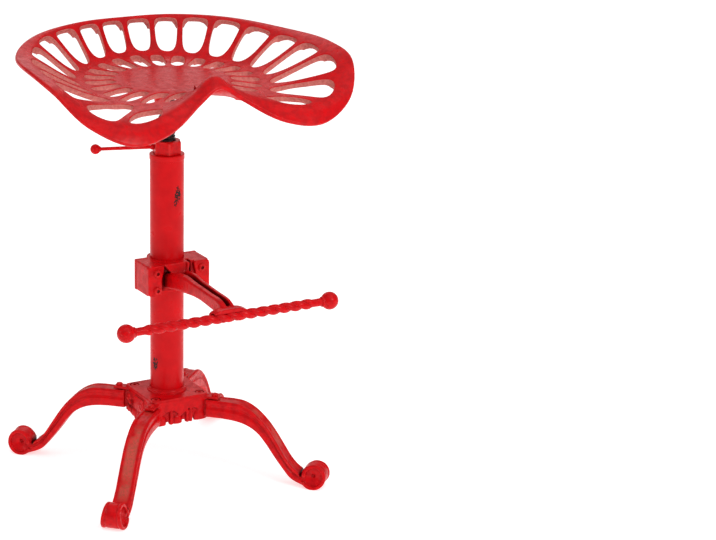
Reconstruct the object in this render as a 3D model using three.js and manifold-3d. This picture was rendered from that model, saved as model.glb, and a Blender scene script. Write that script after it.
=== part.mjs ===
import * as THREE from 'three';
import { mergeVertices } from 'three/addons/utils/BufferGeometryUtils.js';
import Module from 'manifold-3d';

// Screw stool with a cast iron tractor seat, in millimetres, +Z up, the sitter facing -Y.
// The column axis is the Z axis and the floor is z = 0 while the pieces are made.

const wasm = await Module();
wasm.setup();

// Clearances and overruns
const bushGap = 0.3;
const slidingGap = 0.35;
const seatingGap = 0.3;
const boltGap = 0.3;
const cutOverrun = 1;
const joinDepth = 1;

// Numbers of facets round the turned and drilled surfaces
const tubeSides = 32;
const turnedSides = 24;
const drilledSides = 12;
const hexagonSides = 6;
const ballSides = 18;
const ballBands = 10;

// Column and its threaded insert
const columnRadius = 24.15;
const columnWall = 3.2;
const columnTop = 471.5;
const columnSocketDepth = 26;
const insertFlangeProud = 0.75;
const insertFlangeHeight = 8;
const insertPlugLength = 40;

// Screw spindle with its guide
const spindleRadius = 12;
const spindleFoot = 272;
const spindleTopChamfer = 1.5;
const journalRadius = 8;
const guideHeight = 14;
const guideWasherRadius = 14;
const guideWasherHeight = 3;
const guideScrewRadius = 3;
const guideScrewLength = 22;
const guideScrewHeadRadius = 6.5;
const guideScrewHeadHeight = 5;
const spigotRadius = 9;

// Lock nut with its ball lever
const nutAcrossFlats = 36.5;
const nutHeight = 19;
const nutChamfer = 2;
const leverAngle = 163.8;
const leverRadius = 2.5;
const leverReach = 101.4;
const leverBallRadius = 7.2;

// Hub casting
const hubHalf = 44;
const hubTop = 126;
const hubPlate = 8;
const hubCorner = 3;
const hubBossRadius = 32;
const hubBossFoot = 94;
const hubDrainRadius = 16;
const skirtThickness = 6;
const skirtFoot = 86;
const apronProud = 2.2;
const apronTip = 99;
const lobeRadius = 9.5;
const lobeProud = 3;
const lobePlaceShares = [-0.66, -0.22, 0.22, 0.66];
const lobeHeightShare = 1.26;
const lobeSides = 8;
const lobeBands = 5;
const collarWidth = 5;
const collarHeight = 5.5;

// Corner tabs and the screws that hold the legs
const tabReach = 84;
const tabWidth = 19;
const tabThickness = 4;
const tabDrop = 3.5;
const hubScrewReach = 49.5;
const legBoltReach = 73;
const legScrewRadius = 3;
const legScrewLength = 24;
const hubScrewHeadRadius = 6;
const hubScrewHeadHeight = 4.2;
const hubRecessDepth = 4.5;
const hubRecessGap = 1;
const legBoltHeadRadius = 7.5;
const legBoltHeadHeight = 5;

// Legs
const legWidth = 24;
const legFootWidth = 28;
const legTongueWidth = 13;
const legTongueReach = 34;
const legShoulderReach = 88;
const legTongueFoot = 92;
const legSeatingGap = 0.3;
const scrollReach = 225;
const scrollRadius = 19.5;
const scrollFlat = 0.7;
const scrollEyeRadius = 7;
const scrollEyeProud = 1.6;
const crownReachShares = [0.442, 0.508, 0.574, 0.631, 0.684, 0.737, 0.786, 0.83, 0.87, 0.905];
const crownHeightShares = [1, 0.986, 0.931, 0.847, 0.741, 0.602, 0.455, 0.324, 0.236, 0.185];
const soleReachShares = [0.951, 0.855, 0.798, 0.733, 0.678, 0.622, 0.555, 0.48, 0.389];
const soleHeightShares = [0.016, 0.097, 0.216, 0.377, 0.523, 0.642, 0.717, 0.755, 0.771];
const legCurveSteps = 18;

// Footrest bracket, its clamp and fasteners
const clampHalfWidth = 48.3;
const clampFront = -39.6;
const clampSplit = 1;
const clampFoot = 283;
const clampHeight = 44.5;
const clampSplitGap = 0.6;
const clampFlange = 6;
const clampBand = 5;
const earWidth = 27;
const earFootWidth = 17;
const earProud = 3;
const ledgeDepth = 8;
const ledgeHeight = 7;
const lugWidth = 6;
const lugCentre = 12;
const lugHeight = 19;
const lugProud = 4.5;
const clampBoltRadius = 3;
const clampBoltReach = 35;
const clampBoltFootInset = 8.5;
const clampBoltTopInset = 10.5;
const clampHeadRadius = 5;
const clampHeadHeight = 4;
const clampNutRadius = 6;
const clampNutHeight = 5;
const clampBoltProud = 2;

// Footrest arm and bar
const armWidth = 20;
const armSink = 10.5;
const armDepth = 22;
const armDrop = 6;
const armGrooveWidth = 9;
const armGrooveDepth = 5;
const armCrownReachShares = [0.347, 0.5, 0.72, 0.9];
const armCrownDropShares = [-0.17, 0.17, 0.5, 0.8];
const armFootReachShares = [0.8, 0.6, 0.42];
const armFootRiseShares = [0, 0.5, 0.17];
const barReach = 194.2;
const barDrop = 22.8;
const barHalfLength = 157;
const barSide = 12.4;
const barCorner = 2.2;
const barTwistPitch = 68;
const barTwistSteps = 36;
const barNeckRadius = 5.6;
const barNeckLength = 16;
const barBallRadius = 12.7;
const barPegRadius = 4;
const barPegLength = 7;
const saddleHalfLength = 31;
const saddleHalfCrown = 17;
const saddleWall = 5;
const saddleWrap = 3;
const barScrewRadius = 2.5;
const barScrewLength = 12;
const barScrewHeadRadius = 4.5;
const barScrewHeadHeight = 3;
const barScrewReach = 11;

// Seat casting
const panCentreBack = -20;
const panTop = 591;
const panRadius = 74;
const panTwist = 18;
const seatThickness = 6.5;
const slotPitch = 15;
const outerSlotCount = 20;
const innerSlotCount = 21;
const outerSlot = { startShare: 0.06, endShare: 0.95, startWidthShare: 0.82, endWidthShare: 0.88 };
const lastOuterSlot = { startShare: 0.06, endShare: 0.82, startWidthShare: 0.82, endWidthShare: 0.88 };
const innerSlot = { startShare: 0.14, endShare: 0.86, startWidthShare: 0.84, endWidthShare: 0.55 };
const slotRoundness = 2.8;
const steepestWallShare = 0.45;
const rimReach = 230;
const rimRise = 60;
const webReach = 131;
const seatBossRadius = 46;
const seatBossHeight = 10;
const seatFlangeRadius = 42;
const seatFlangeHeight = 8;
const seatBoltRadius = 4;
const seatBoltReach = 33;
const seatBoltGrip = 10;
const seatBoltHeadRadius = 7.5;
const seatBoltHeadHeight = 5.3;
const seatBoltCount = 4;

// The seat's rings from the back of the pan round to the front: plan angles in degrees,
// then for each angle the reach and the rise of the rim, its shoulder and the web between the slots
const ringAngles = [0, 25, 50, 75, 100, 115, 128, 140, 152, 166, 180];
const rimReachShares = [0.724, 0.743, 0.852, 0.948, 1.02, 1.087, 1.085, 0.98, 0.825, 0.665, 0.626];
const rimRiseShares = [0.95, 0.965, 0.87, 0.73, 0.68, 0.47, -0.22, -0.665, -0.53, -0.01, 0.317];
const shoulderReachShares = [0.7, 0.712, 0.806, 0.868, 0.933, 1, 1.022, 0.912, 0.72, 0.565, 0.535];
const shoulderRiseShares = [0.905, 0.91, 0.84, 0.667, 0.583, 0.4, -0.1, -0.333, -0.15, 0.167, 0.5];
const webReachShares = [1, 1, 1, 1, 1, 1, 1, 0.97, 0.91, 0.84, 0.8];
const webRiseShares = [0.19, 0.15, 0.085, 0.025, -0.04, -0.1, -0.125, -0.125, -0.08, 0.1, 0.35];
const panTwistShares = [0, 0, 0, 0, 0.1, 0.35, 0.55, 0.8, 0.95, 0.6, 0];
const ringPoints = 96;
const outerCellSteps = 5;
const innerCellSteps = 3;
const bandSteps = 2;
const slopeStep = 0.02;

// Finish of each kind of piece
const redEnamel = { color: 0xb8101a, roughness: 0.28, metalness: 0.0 };
const blackSteel = { color: 0x1b1715, roughness: 0.42, metalness: 0.8 };
const nylon = { color: 0xd8d2c2, roughness: 0.6, metalness: 0.0 };
const plainSteel = { color: 0x8f8a84, roughness: 0.4, metalness: 0.9 };

// Sizes that follow from the values above
const columnBore = columnRadius - columnWall;
const columnFoot = hubTop - columnSocketDepth;
const insertTop = columnTop + insertFlangeHeight;
const nutFoot = insertTop + seatingGap;
const panUnderside = panTop - seatThickness;
const seatBossFoot = panUnderside - seatBossHeight;
const seatFlangeFoot = seatBossFoot - seatFlangeHeight;
const guideTop = spindleFoot - seatingGap;
const guideFoot = guideTop - guideHeight;
const guideWasherTop = guideFoot - seatingGap;
const guideWasherFoot = guideWasherTop - guideWasherHeight;
const plateFoot = hubTop - hubPlate;
const tabTop = hubTop - tabDrop;
const tabFoot = tabTop - tabThickness;
const scrollHeight = scrollRadius - scrollFlat;
const legCrown = tabFoot - legSeatingGap;
const splitBack = clampSplit + clampSplitGap;
const clampTop = clampFoot + clampHeight;
const clampBoltLow = clampFoot + clampBoltFootInset;
const clampBoltHigh = clampTop - clampBoltTopInset;
const armCrown = clampTop - armSink;
const barHeight = armCrown - barDrop;

// Solid helpers
const positionOnly = (geometry) => {
  const bare = geometry.clone();
  bare.deleteAttribute('normal');
  bare.deleteAttribute('uv');
  return mergeVertices(bare, 1e-4);
};

const toManifold = (geometry) => {
  const bare = positionOnly(geometry);
  const vertProperties = new Float32Array(bare.attributes.position.array);
  const triVerts = new Uint32Array(bare.index.array);
  return new wasm.Manifold(new wasm.Mesh({ numProp: 3, vertProperties, triVerts }));
};

const fromManifold = (manifold) => {
  const mesh = manifold.getMesh();
  const geometry = new THREE.BufferGeometry();
  geometry.setAttribute('position', new THREE.BufferAttribute(new Float32Array(mesh.vertProperties), 3));
  geometry.setIndex(new THREE.BufferAttribute(new Uint32Array(mesh.triVerts), 1));
  return geometry;
};

const shape = (base, { add = [], cut = [] }) => {
  let body = toManifold(base);
  for (const piece of add) {
    body = body.add(toManifold(piece));
  }
  for (const tool of cut) {
    body = body.subtract(toManifold(tool));
  }
  return fromManifold(body);
};

const cylinder = (radius, z0, z1, sides, x = 0, y = 0, topRadius = radius) => {
  const geometry = new THREE.CylinderGeometry(topRadius, radius, z1 - z0, sides);
  geometry.rotateX(Math.PI / 2);
  geometry.translate(x, y, (z0 + z1) / 2);
  return geometry;
};

const crossCylinder = (radius, y0, y1, sides, x, z) => {
  const geometry = new THREE.CylinderGeometry(radius, radius, y1 - y0, sides);
  geometry.translate(x, (y0 + y1) / 2, z);
  return geometry;
};

const alongX = (radius, x0, x1, sides) => {
  const geometry = new THREE.CylinderGeometry(radius, radius, x1 - x0, sides);
  geometry.rotateZ(Math.PI / 2);
  geometry.translate((x0 + x1) / 2, 0, 0);
  return geometry;
};

const block = (x0, x1, y0, y1, z0, z1) => {
  const geometry = new THREE.BoxGeometry(x1 - x0, y1 - y0, z1 - z0);
  geometry.translate((x0 + x1) / 2, (y0 + y1) / 2, (z0 + z1) / 2);
  return geometry;
};

const lathe = (profile, sides) => {
  const points = profile.map(([r, z]) => new THREE.Vector2(r, z));
  const geometry = new THREE.LatheGeometry(points, sides);
  geometry.rotateX(Math.PI / 2);
  return geometry;
};

const outline = (points) => new THREE.Shape(points.map(([x, y]) => new THREE.Vector2(x, y)));

// A flat outline in the XZ plane, thickened along Y from y0 to y1
const uprightPlate = (points, y0, y1) => {
  const geometry = new THREE.ExtrudeGeometry(outline(points), { depth: y1 - y0, bevelEnabled: false });
  geometry.rotateX(Math.PI / 2);
  geometry.translate(0, y1, 0);
  return geometry;
};

const radians = THREE.MathUtils.degToRad;
const group = new THREE.Group();

const addPiece = (name, geometry, finish, turn = 0, parent = group) => {
  geometry.computeVertexNormals();
  const mesh = new THREE.Mesh(geometry, new THREE.MeshStandardMaterial(finish));
  mesh.name = name;
  mesh.rotation.z = turn;
  parent.add(mesh);
  return mesh;
};

// Hub casting: plate, boss, aprons with leaf lobes, corner tabs for the legs
const quarterTurns = [0, 1, 2, 3].map((quarter) => quarter * Math.PI * 0.5);
const cornerTurns = quarterTurns.map((turn) => turn + Math.PI / 4);
const hubDiagonal = hubHalf * Math.SQRT2;

const makeHub = () => {
  const add = [cylinder(hubBossRadius, hubBossFoot, plateFoot + joinDepth, turnedSides)];
  const cut = [];
  const innerFace = hubHalf - skirtThickness;
  const apronHalf = hubHalf - hubCorner;
  const lobeFoot = skirtFoot + lobeRadius;
  for (const turn of quarterTurns) {
    const skirt = block(-apronHalf, apronHalf, -hubHalf, -innerFace, lobeFoot, plateFoot + joinDepth);
    const apron = uprightPlate(
      [[-apronHalf, hubTop - hubCorner], [apronHalf, hubTop - hubCorner], [apronHalf, plateFoot - lobeProud],
        [lobeRadius, apronTip + lobeRadius], [0, apronTip], [-lobeRadius, apronTip + lobeRadius],
        [-apronHalf, plateFoot - lobeProud]],
      -hubHalf - apronProud,
      -innerFace,
    );
    add.push(skirt.rotateZ(turn), apron.rotateZ(turn));
    for (const share of lobePlaceShares) {
      const lobe = new THREE.SphereGeometry(lobeRadius, lobeSides, lobeBands);
      lobe.scale(1, (skirtThickness + lobeProud) / (2 * lobeRadius), lobeHeightShare);
      lobe.translate(share * hubHalf, (skirtThickness - lobeProud) / 2 - hubHalf, lobeFoot);
      add.push(lobe.rotateZ(turn));
    }
  }
  const slotHalf = legTongueWidth / 2 + legSeatingGap;
  const screwHole = legScrewRadius + boltGap;
  const recess = hubScrewHeadRadius + hubRecessGap;
  for (const turn of cornerTurns) {
    const tab = block(hubHalf, tabReach, -tabWidth / 2, tabWidth / 2, tabFoot, tabTop);
    add.push(tab.rotateZ(turn));
    const slot = block(hubBossRadius + seatingGap, 2 * hubHalf, -slotHalf, slotHalf, 0, plateFoot);
    const tools = [
      slot,
      cylinder(screwHole, plateFoot - cutOverrun, hubTop, drilledSides, hubScrewReach),
      cylinder(recess, hubTop - hubRecessDepth, hubTop + cutOverrun, turnedSides, hubScrewReach),
      cylinder(screwHole, tabFoot - cutOverrun, tabTop + cutOverrun, drilledSides, legBoltReach),
    ];
    cut.push(...tools.map((tool) => tool.rotateZ(turn)));
  }
  cut.push(cylinder(columnRadius + bushGap, columnFoot, hubTop + cutOverrun, tubeSides));
  cut.push(cylinder(hubDrainRadius, hubBossFoot - cutOverrun, columnFoot + cutOverrun, turnedSides));
  const plate = block(-hubHalf, hubHalf, -hubHalf, hubHalf, plateFoot, hubTop);
  return shape(plate, { add, cut });
};

const makeCollar = () => {
  const bore = columnRadius + bushGap;
  const outer = columnRadius + collarWidth;
  const shoulder = hubTop + collarHeight / 2;
  const top = hubTop + collarHeight;
  const profile = [[bore, hubTop], [outer, hubTop], [outer, shoulder], [outer - collarWidth / 2, top],
    [bore, top], [bore, hubTop]];
  return lathe(profile, tubeSides);
};

// A smooth line through places given as shares of a reach and a height
const curvePoints = (start, reachShares, reach, heightShares, height) => {
  const shaped = reachShares.map((share, i) => [share * reach, heightShares[i] * height]);
  const places = [...start, ...shaped].map(([r, z]) => new THREE.Vector3(r, z, 0));
  return new THREE.CatmullRomCurve3(places).getPoints(legCurveSteps).map((p) => [p.x, p.y]);
};

// The leg's arm widens evenly from its shoulder to the scroll
const widenToFoot = (geometry) => {
  const places = geometry.attributes.position;
  const gain = (legFootWidth / legWidth - 1) / (scrollReach - legShoulderReach);
  for (let i = 0; i < places.count; i += 1) {
    places.setY(i, places.getY(i) * (1 + gain * (places.getX(i) - legShoulderReach)));
  }
  return geometry;
};

// Leg outlines in their own upright plane: first the reach from the column axis, then the height
const makeLeg = () => {
  const crownStart = [[legShoulderReach, legCrown]];
  const crown = curvePoints(crownStart, crownReachShares, scrollReach, crownHeightShares, legCrown);
  const sole = curvePoints([], soleReachShares, scrollReach, soleHeightShares, legCrown);
  const legHalf = legWidth / 2;
  const footHalf = legFootWidth / 2;
  const tongueHalf = legTongueWidth / 2;
  const tongueTop = plateFoot - legSeatingGap;
  const tongueEnd = hubDiagonal + legSeatingGap;
  const arm = widenToFoot(uprightPlate([...crown, ...sole], -legHalf, legHalf));
  const root = block(tongueEnd, legShoulderReach + joinDepth, -legHalf, legHalf, legTongueFoot, legCrown);
  const tongue = block(legTongueReach, legShoulderReach, -tongueHalf, tongueHalf, legTongueFoot, legCrown);
  const overPlate = block(0, tongueEnd, -legWidth, legWidth, tongueTop, hubTop);
  const scroll = crossCylinder(scrollRadius, -footHalf, footHalf, tubeSides, scrollReach, scrollHeight);
  const eyeHalf = footHalf + scrollEyeProud;
  const eye = crossCylinder(scrollEyeRadius, -eyeHalf, eyeHalf, turnedSides, scrollReach, scrollHeight);
  const floor = block(0, 2 * scrollReach, -legFootWidth, legFootWidth, -legCrown, 0);
  const screwHole = legScrewRadius + boltGap;
  const holeDepth = legScrewLength + boltGap;
  const cut = [
    overPlate,
    floor,
    cylinder(screwHole, hubTop - hubRecessDepth - holeDepth, hubTop, drilledSides, hubScrewReach),
    cylinder(screwHole, tabTop - holeDepth, tabTop, drilledSides, legBoltReach),
  ];
  return shape(arm, { add: [root, tongue, scroll, eye], cut });
};

const screw = (shankRadius, shankTop, length, headRadius, headHeight, sides, x = 0, y = 0) => {
  const shank = cylinder(shankRadius, shankTop - length, shankTop + joinDepth, drilledSides, x, y);
  const head = cylinder(headRadius, shankTop, shankTop + headHeight, sides, x, y);
  return shape(head, { add: [shank] });
};

// Footrest bracket: front half of the clamp, its ears, the arm and the saddle
const clampBoltPlaces = [
  { name: 'left_low', x: -clampBoltReach, z: clampBoltLow },
  { name: 'left_high', x: -clampBoltReach, z: clampBoltHigh },
  { name: 'right_low', x: clampBoltReach, z: clampBoltLow },
  { name: 'right_high', x: clampBoltReach, z: clampBoltHigh },
];
const barScrewPlaces = [['left', -barScrewReach], ['right', barScrewReach]];

const makeColumnBed = () => (
  cylinder(columnRadius + bushGap, clampFoot - cutOverrun, clampTop + cutOverrun, tubeSides));

const makeBracket = () => {
  const face = clampFront + earProud;
  const joined = face + joinDepth;
  const inner = clampHalfWidth - earWidth;
  const footInner = clampHalfWidth - earFootWidth;
  const core = block(-clampHalfWidth, clampHalfWidth, face, clampSplit, clampFoot, clampTop);
  const rightEar = [[inner, clampTop], [clampHalfWidth, clampTop], [clampHalfWidth, clampFoot],
    [footInner, clampFoot]];
  const leftEar = rightEar.map(([x, z]) => [-x, z]).reverse();
  const ears = [rightEar, leftEar].map((ear) => uprightPlate(ear, clampFront, joined));
  const ledgeEnd = -(inner + footInner) / 2;
  const ledge = block(ledgeEnd, lugCentre, face - ledgeDepth / 2, joined, clampTop - ledgeHeight, clampTop);
  const lugFoot = clampTop - lugHeight;
  const lugSide = lugCentre - lugWidth / 2;
  const lug = block(lugSide, lugSide + lugWidth, face - lugProud, joined, lugFoot, clampTop);
  const armFoot = armCrown - armDepth;
  const barTop = barHeight + barSide / 2;
  const saddleTop = barTop + saddleWall;
  const saddleFoot = barHeight - saddleWrap;
  const side = [
    [joined, armCrown - armDrop],
    ...armCrownReachShares.map((share, i) => [-share * barReach, armCrown - armCrownDropShares[i] * armDrop]),
    [-barReach, saddleTop + saddleWrap], [-barReach, barTop], [barSide - barReach, saddleFoot],
    ...armFootReachShares.map((share, i) => [-share * barReach, armFoot + armFootRiseShares[i] * armDrop]),
    [joined, armFoot - armDrop],
  ];
  const arm = new THREE.ExtrudeGeometry(outline(side), { depth: armWidth, bevelEnabled: false });
  arm.rotateX(Math.PI / 2).rotateZ(Math.PI / 2).translate(-armWidth / 2, 0, 0);
  const saddle = uprightPlate(
    [[-saddleHalfLength, saddleFoot], [saddleHalfLength, saddleFoot], [saddleHalfLength, barTop],
      [saddleHalfCrown, saddleTop + saddleWrap], [-saddleHalfCrown, saddleTop + saddleWrap],
      [-saddleHalfLength, barTop]],
    -barReach - (barSide + saddleWall) / 2,
    -barReach + barSide / 2 + saddleWall,
  );
  const barBore = Math.hypot(barSide / 2, barSide / 2 - barCorner) + bushGap;
  const boreHalf = 2 * saddleHalfLength;
  const bore = new THREE.CylinderGeometry(barBore, barBore, 2 * boreHalf, turnedSides);
  bore.rotateZ(Math.PI / 2).translate(0, -barReach, barHeight);
  const under = block(-boreHalf, boreHalf, -barReach - 2 * barSide, -barReach + barBore, 0, barHeight);
  const grooveFoot = armCrown - armDrop - armGrooveDepth;
  const grooveEnd = saddleHalfCrown - barReach;
  const grooveHalf = armGrooveWidth / 2;
  const groove = block(-grooveHalf, grooveHalf, grooveEnd, clampFront - joinDepth, grooveFoot, clampTop);
  const cut = [makeColumnBed(), bore, under, groove];
  for (const { x, z } of clampBoltPlaces) {
    const boltHole = clampBoltRadius + boltGap;
    cut.push(crossCylinder(boltHole, clampFront - cutOverrun, clampSplit + cutOverrun, drilledSides, x, z));
  }
  for (const [, x] of barScrewPlaces) {
    const screwHole = barScrewRadius + boltGap;
    cut.push(cylinder(screwHole, barHeight, barHeight + barScrewLength, drilledSides, x, -barReach));
  }
  return shape(core, { add: [...ears, ledge, lug, arm, saddle], cut });
};

const flangeBack = splitBack + clampFlange;

const makeClampRear = () => {
  const flange = block(-clampHalfWidth, clampHalfWidth, splitBack, flangeBack, clampFoot, clampTop);
  const band = cylinder(columnRadius + clampBand, clampFoot, clampTop, tubeSides);
  const reach = 2 * clampHalfWidth;
  const front = block(-reach, reach, -reach, splitBack, 0, 2 * clampTop);
  const boltHole = clampBoltRadius + boltGap;
  const boltHoles = clampBoltPlaces.map(({ x, z }) => (
    crossCylinder(boltHole, splitBack - cutOverrun, flangeBack + cutOverrun, drilledSides, x, z)));
  return shape(flange, { add: [band], cut: [front, makeColumnBed(), ...boltHoles] });
};

const makeClampBolt = (x, z) => {
  const back = flangeBack + clampNutHeight + clampBoltProud;
  const head = crossCylinder(clampHeadRadius, clampFront - clampHeadHeight, clampFront, turnedSides, x, z);
  const shank = crossCylinder(clampBoltRadius, clampFront - joinDepth, back, drilledSides, x, z);
  return shape(head, { add: [shank] });
};

const makeClampNut = (x, z) => {
  const back = flangeBack + clampNutHeight;
  const nut = crossCylinder(clampNutRadius, flangeBack, back, hexagonSides, x, z);
  const boltHole = clampBoltRadius + boltGap;
  const bore = crossCylinder(boltHole, flangeBack - cutOverrun, back + cutOverrun, drilledSides, x, z);
  return shape(nut, { cut: [bore] });
};

// Twisted square bar with plain necks, running along X
const barNeckEnd = barHalfLength - barBallRadius;

const makeBar = () => {
  const half = barNeckEnd - barNeckLength;
  const face = barSide / 2;
  const edge = face - barCorner;
  const section = [[face, edge], [edge, face], [-edge, face], [-face, edge],
    [-face, -edge], [-edge, -face], [edge, -face], [face, -edge]];
  const positions = [];
  const indices = [];
  for (let step = 0; step <= barTwistSteps; step += 1) {
    const x = (2 * half * step) / barTwistSteps - half;
    const turn = (2 * Math.PI * x) / barTwistPitch;
    const [sine, cosine] = [Math.sin(turn), Math.cos(turn)];
    section.forEach(([p, q]) => positions.push(x, p * cosine - q * sine, p * sine + q * cosine));
  }
  const sides = section.length;
  for (let step = 0; step < barTwistSteps; step += 1) {
    for (let k = 0; k < sides; k += 1) {
      const p = step * sides + k;
      const q = step * sides + ((k + 1) % sides);
      indices.push(p, q, p + sides, q, q + sides, p + sides);
    }
  }
  const last = barTwistSteps * sides;
  for (let k = 1; k < sides - 1; k += 1) {
    indices.push(0, k + 1, k, last, last + k, last + k + 1);
  }
  const rope = new THREE.BufferGeometry();
  rope.setAttribute('position', new THREE.Float32BufferAttribute(positions, 3));
  rope.setIndex(indices);
  const pegEnd = barNeckEnd + barPegLength;
  const neck = alongX(barNeckRadius, -barNeckEnd, barNeckEnd, turnedSides);
  const peg = alongX(barPegRadius, -pegEnd, pegEnd, drilledSides);
  const cut = barScrewPlaces.flatMap(([, x]) => [
    cylinder(barScrewRadius + boltGap, -barSide, barSide, drilledSides, x),
    cylinder(barScrewHeadRadius + boltGap, -barSide, barScrewHeadHeight - face, turnedSides, x),
  ]);
  return shape(rope, { add: [neck, peg], cut }).translate(0, -barReach, barHeight);
};

const makeBarBall = (side) => {
  const ball = new THREE.SphereGeometry(barBallRadius, ballSides, ballBands).rotateZ(Math.PI / 2);
  const neckHole = barNeckRadius + boltGap;
  const sphereEdge = Math.sqrt(barBallRadius ** 2 - neckHole ** 2);
  const flat = alongX(neckHole, sphereEdge - 2 * barBallRadius, -sphereEdge, turnedSides);
  const socketEnd = barPegLength + boltGap - barBallRadius;
  const pegSocket = alongX(barPegRadius + boltGap, -2 * barBallRadius, socketEnd, drilledSides);
  const neckSocket = alongX(neckHole, -2 * barBallRadius, seatingGap - barBallRadius, turnedSides);
  const cut = [pegSocket, neckSocket, flat].map((tool) => (side < 0 ? tool.rotateZ(Math.PI) : tool));
  return shape(ball, { cut }).translate(side * barHalfLength, -barReach, barHeight);
};

const makeBarScrew = (x) => {
  const headFoot = barHeight - barSide / 2;
  const headTop = headFoot + barScrewHeadHeight - boltGap;
  const head = cylinder(barScrewHeadRadius, headFoot, headTop, turnedSides, x, -barReach);
  const shankTop = headFoot + barScrewLength;
  const shank = cylinder(barScrewRadius, headFoot + joinDepth, shankTop, drilledSides, x, -barReach);
  return shape(head, { add: [shank] });
};

// Column, insert, spindle and its guide
const makeColumn = () => lathe(
  [[columnBore, columnFoot], [columnRadius, columnFoot], [columnRadius, columnTop], [columnBore, columnTop],
    [columnBore, columnFoot]],
  tubeSides,
);

const makeInsert = () => {
  const bore = spindleRadius + bushGap;
  const plug = columnBore - bushGap;
  const flange = columnRadius + insertFlangeProud;
  const plugFoot = columnTop - insertPlugLength;
  return lathe(
    [[bore, plugFoot], [plug, plugFoot], [plug, columnTop], [flange, columnTop],
      [flange, insertTop - joinDepth], [flange - joinDepth, insertTop], [bore, insertTop], [bore, plugFoot]],
    tubeSides,
  );
};

const makeSpindle = () => {
  const journalFoot = guideWasherTop;
  const spindleTop = seatFlangeFoot;
  const screwHole = guideScrewRadius + boltGap;
  const holeTop = journalFoot + guideScrewLength - guideWasherHeight + boltGap;
  return lathe(
    [[0, holeTop], [screwHole, holeTop], [screwHole, journalFoot], [journalRadius, journalFoot],
      [journalRadius, spindleFoot], [spindleRadius - spindleTopChamfer, spindleFoot],
      [spindleRadius, spindleFoot + spindleTopChamfer], [spindleRadius, spindleTop],
      [spigotRadius, spindleTop],
      [spigotRadius, seatBossFoot], [0, seatBossFoot]],
    turnedSides,
  );
};

const makeGuide = () => {
  const bore = journalRadius + bushGap;
  const outer = columnBore - slidingGap;
  const eased = outer - joinDepth;
  return lathe(
    [[bore, guideFoot], [eased, guideFoot], [outer, guideFoot + joinDepth], [outer, guideTop - joinDepth],
      [eased, guideTop], [bore, guideTop], [bore, guideFoot]],
    tubeSides,
  );
};

const makeGuideWasher = () => {
  const bore = guideScrewRadius + boltGap;
  return lathe(
    [[bore, guideWasherFoot], [guideWasherRadius, guideWasherFoot], [guideWasherRadius, guideWasherTop],
      [bore, guideWasherTop], [bore, guideWasherFoot]],
    turnedSides,
  );
};

const makeGuideScrew = () => {
  const headFoot = guideWasherFoot - guideScrewHeadHeight;
  const shankTop = guideWasherFoot + guideScrewLength;
  const head = cylinder(guideScrewHeadRadius, headFoot, guideWasherFoot, hexagonSides);
  return shape(head, { add: [cylinder(guideScrewRadius, headFoot + joinDepth, shankTop, drilledSides)] });
};

// Lock nut: hexagon with chamfered corners, and its ball lever
const makeLockNut = () => {
  const cornerRadius = nutAcrossFlats / Math.sqrt(3);
  const top = nutFoot + nutHeight;
  const hexagon = cylinder(cornerRadius, nutFoot, top, hexagonSides).rotateZ(radians(leverAngle));
  const clear = cornerRadius + cutOverrun;
  const dome = lathe(
    [[0, nutFoot - cutOverrun], [clear, nutFoot - cutOverrun], [clear, top - nutChamfer],
      [cornerRadius - nutChamfer, top], [0, top]],
    tubeSides,
  );
  const bore = cylinder(spindleRadius + bushGap, nutFoot - cutOverrun, top + cutOverrun, turnedSides);
  return fromManifold(toManifold(hexagon).intersect(toManifold(dome)).subtract(toManifold(bore)));
};

const leverHeight = nutFoot + nutHeight / 2;
const leverRodEnd = leverReach - leverBallRadius / 2;
const placeLever = (geometry) => geometry.rotateZ(radians(leverAngle)).translate(0, 0, leverHeight);

const makeLeverRod = () => {
  const start = nutAcrossFlats / 2 + seatingGap;
  return placeLever(alongX(leverRadius, start, leverRodEnd - seatingGap, drilledSides));
};

const makeLeverBall = () => {
  const ball = new THREE.SphereGeometry(leverBallRadius, ballSides, ballBands).rotateZ(Math.PI / 2);
  ball.translate(leverReach, 0, 0);
  const socket = alongX(leverRadius + boltGap, leverReach - 2 * leverBallRadius, leverRodEnd, drilledSides);
  return placeLever(shape(ball, { cut: [socket] }));
};

// Seat surface: a point on the upper face at a plan angle and a ring place,
// where -1 is the pan's centre, 0 its edge, 1 the web, 2 the shoulder and 3 the rim
const outermostRing = 3;
const ringValue = (shares, degrees) => {
  const a = Math.abs(((degrees + 540) % 360) - 180);
  const lastSpan = ringAngles.length - 2;
  const found = ringAngles.findIndex((angle) => angle > a) - 1;
  const i = found < 0 ? lastSpan : Math.min(found, lastSpan);
  const slope = (k) => {
    const inside = k > 0 && k < ringAngles.length - 1;
    return inside ? (shares[k + 1] - shares[k - 1]) / (ringAngles[k + 1] - ringAngles[k - 1]) : 0;
  };
  const span = ringAngles[i + 1] - ringAngles[i];
  const t = (a - ringAngles[i]) / span;
  const t2 = t * t;
  const t3 = t2 * t;
  return (2 * t3 - 3 * t2 + 1) * shares[i] + (t3 - 2 * t2 + t) * span * slope(i)
    + (3 * t2 - 2 * t3) * shares[i + 1] + (t3 - t2) * span * slope(i + 1);
};

const planPoint = (degrees, reach, rise) => {
  const angle = radians(degrees);
  return new THREE.Vector3(reach * Math.sin(angle), panCentreBack + reach * Math.cos(angle), panTop + rise);
};

const twisted = (degrees) => {
  const signed = ((degrees + 540) % 360) - 180;
  return signed + Math.sign(signed) * panTwist * ringValue(panTwistShares, degrees);
};

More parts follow.
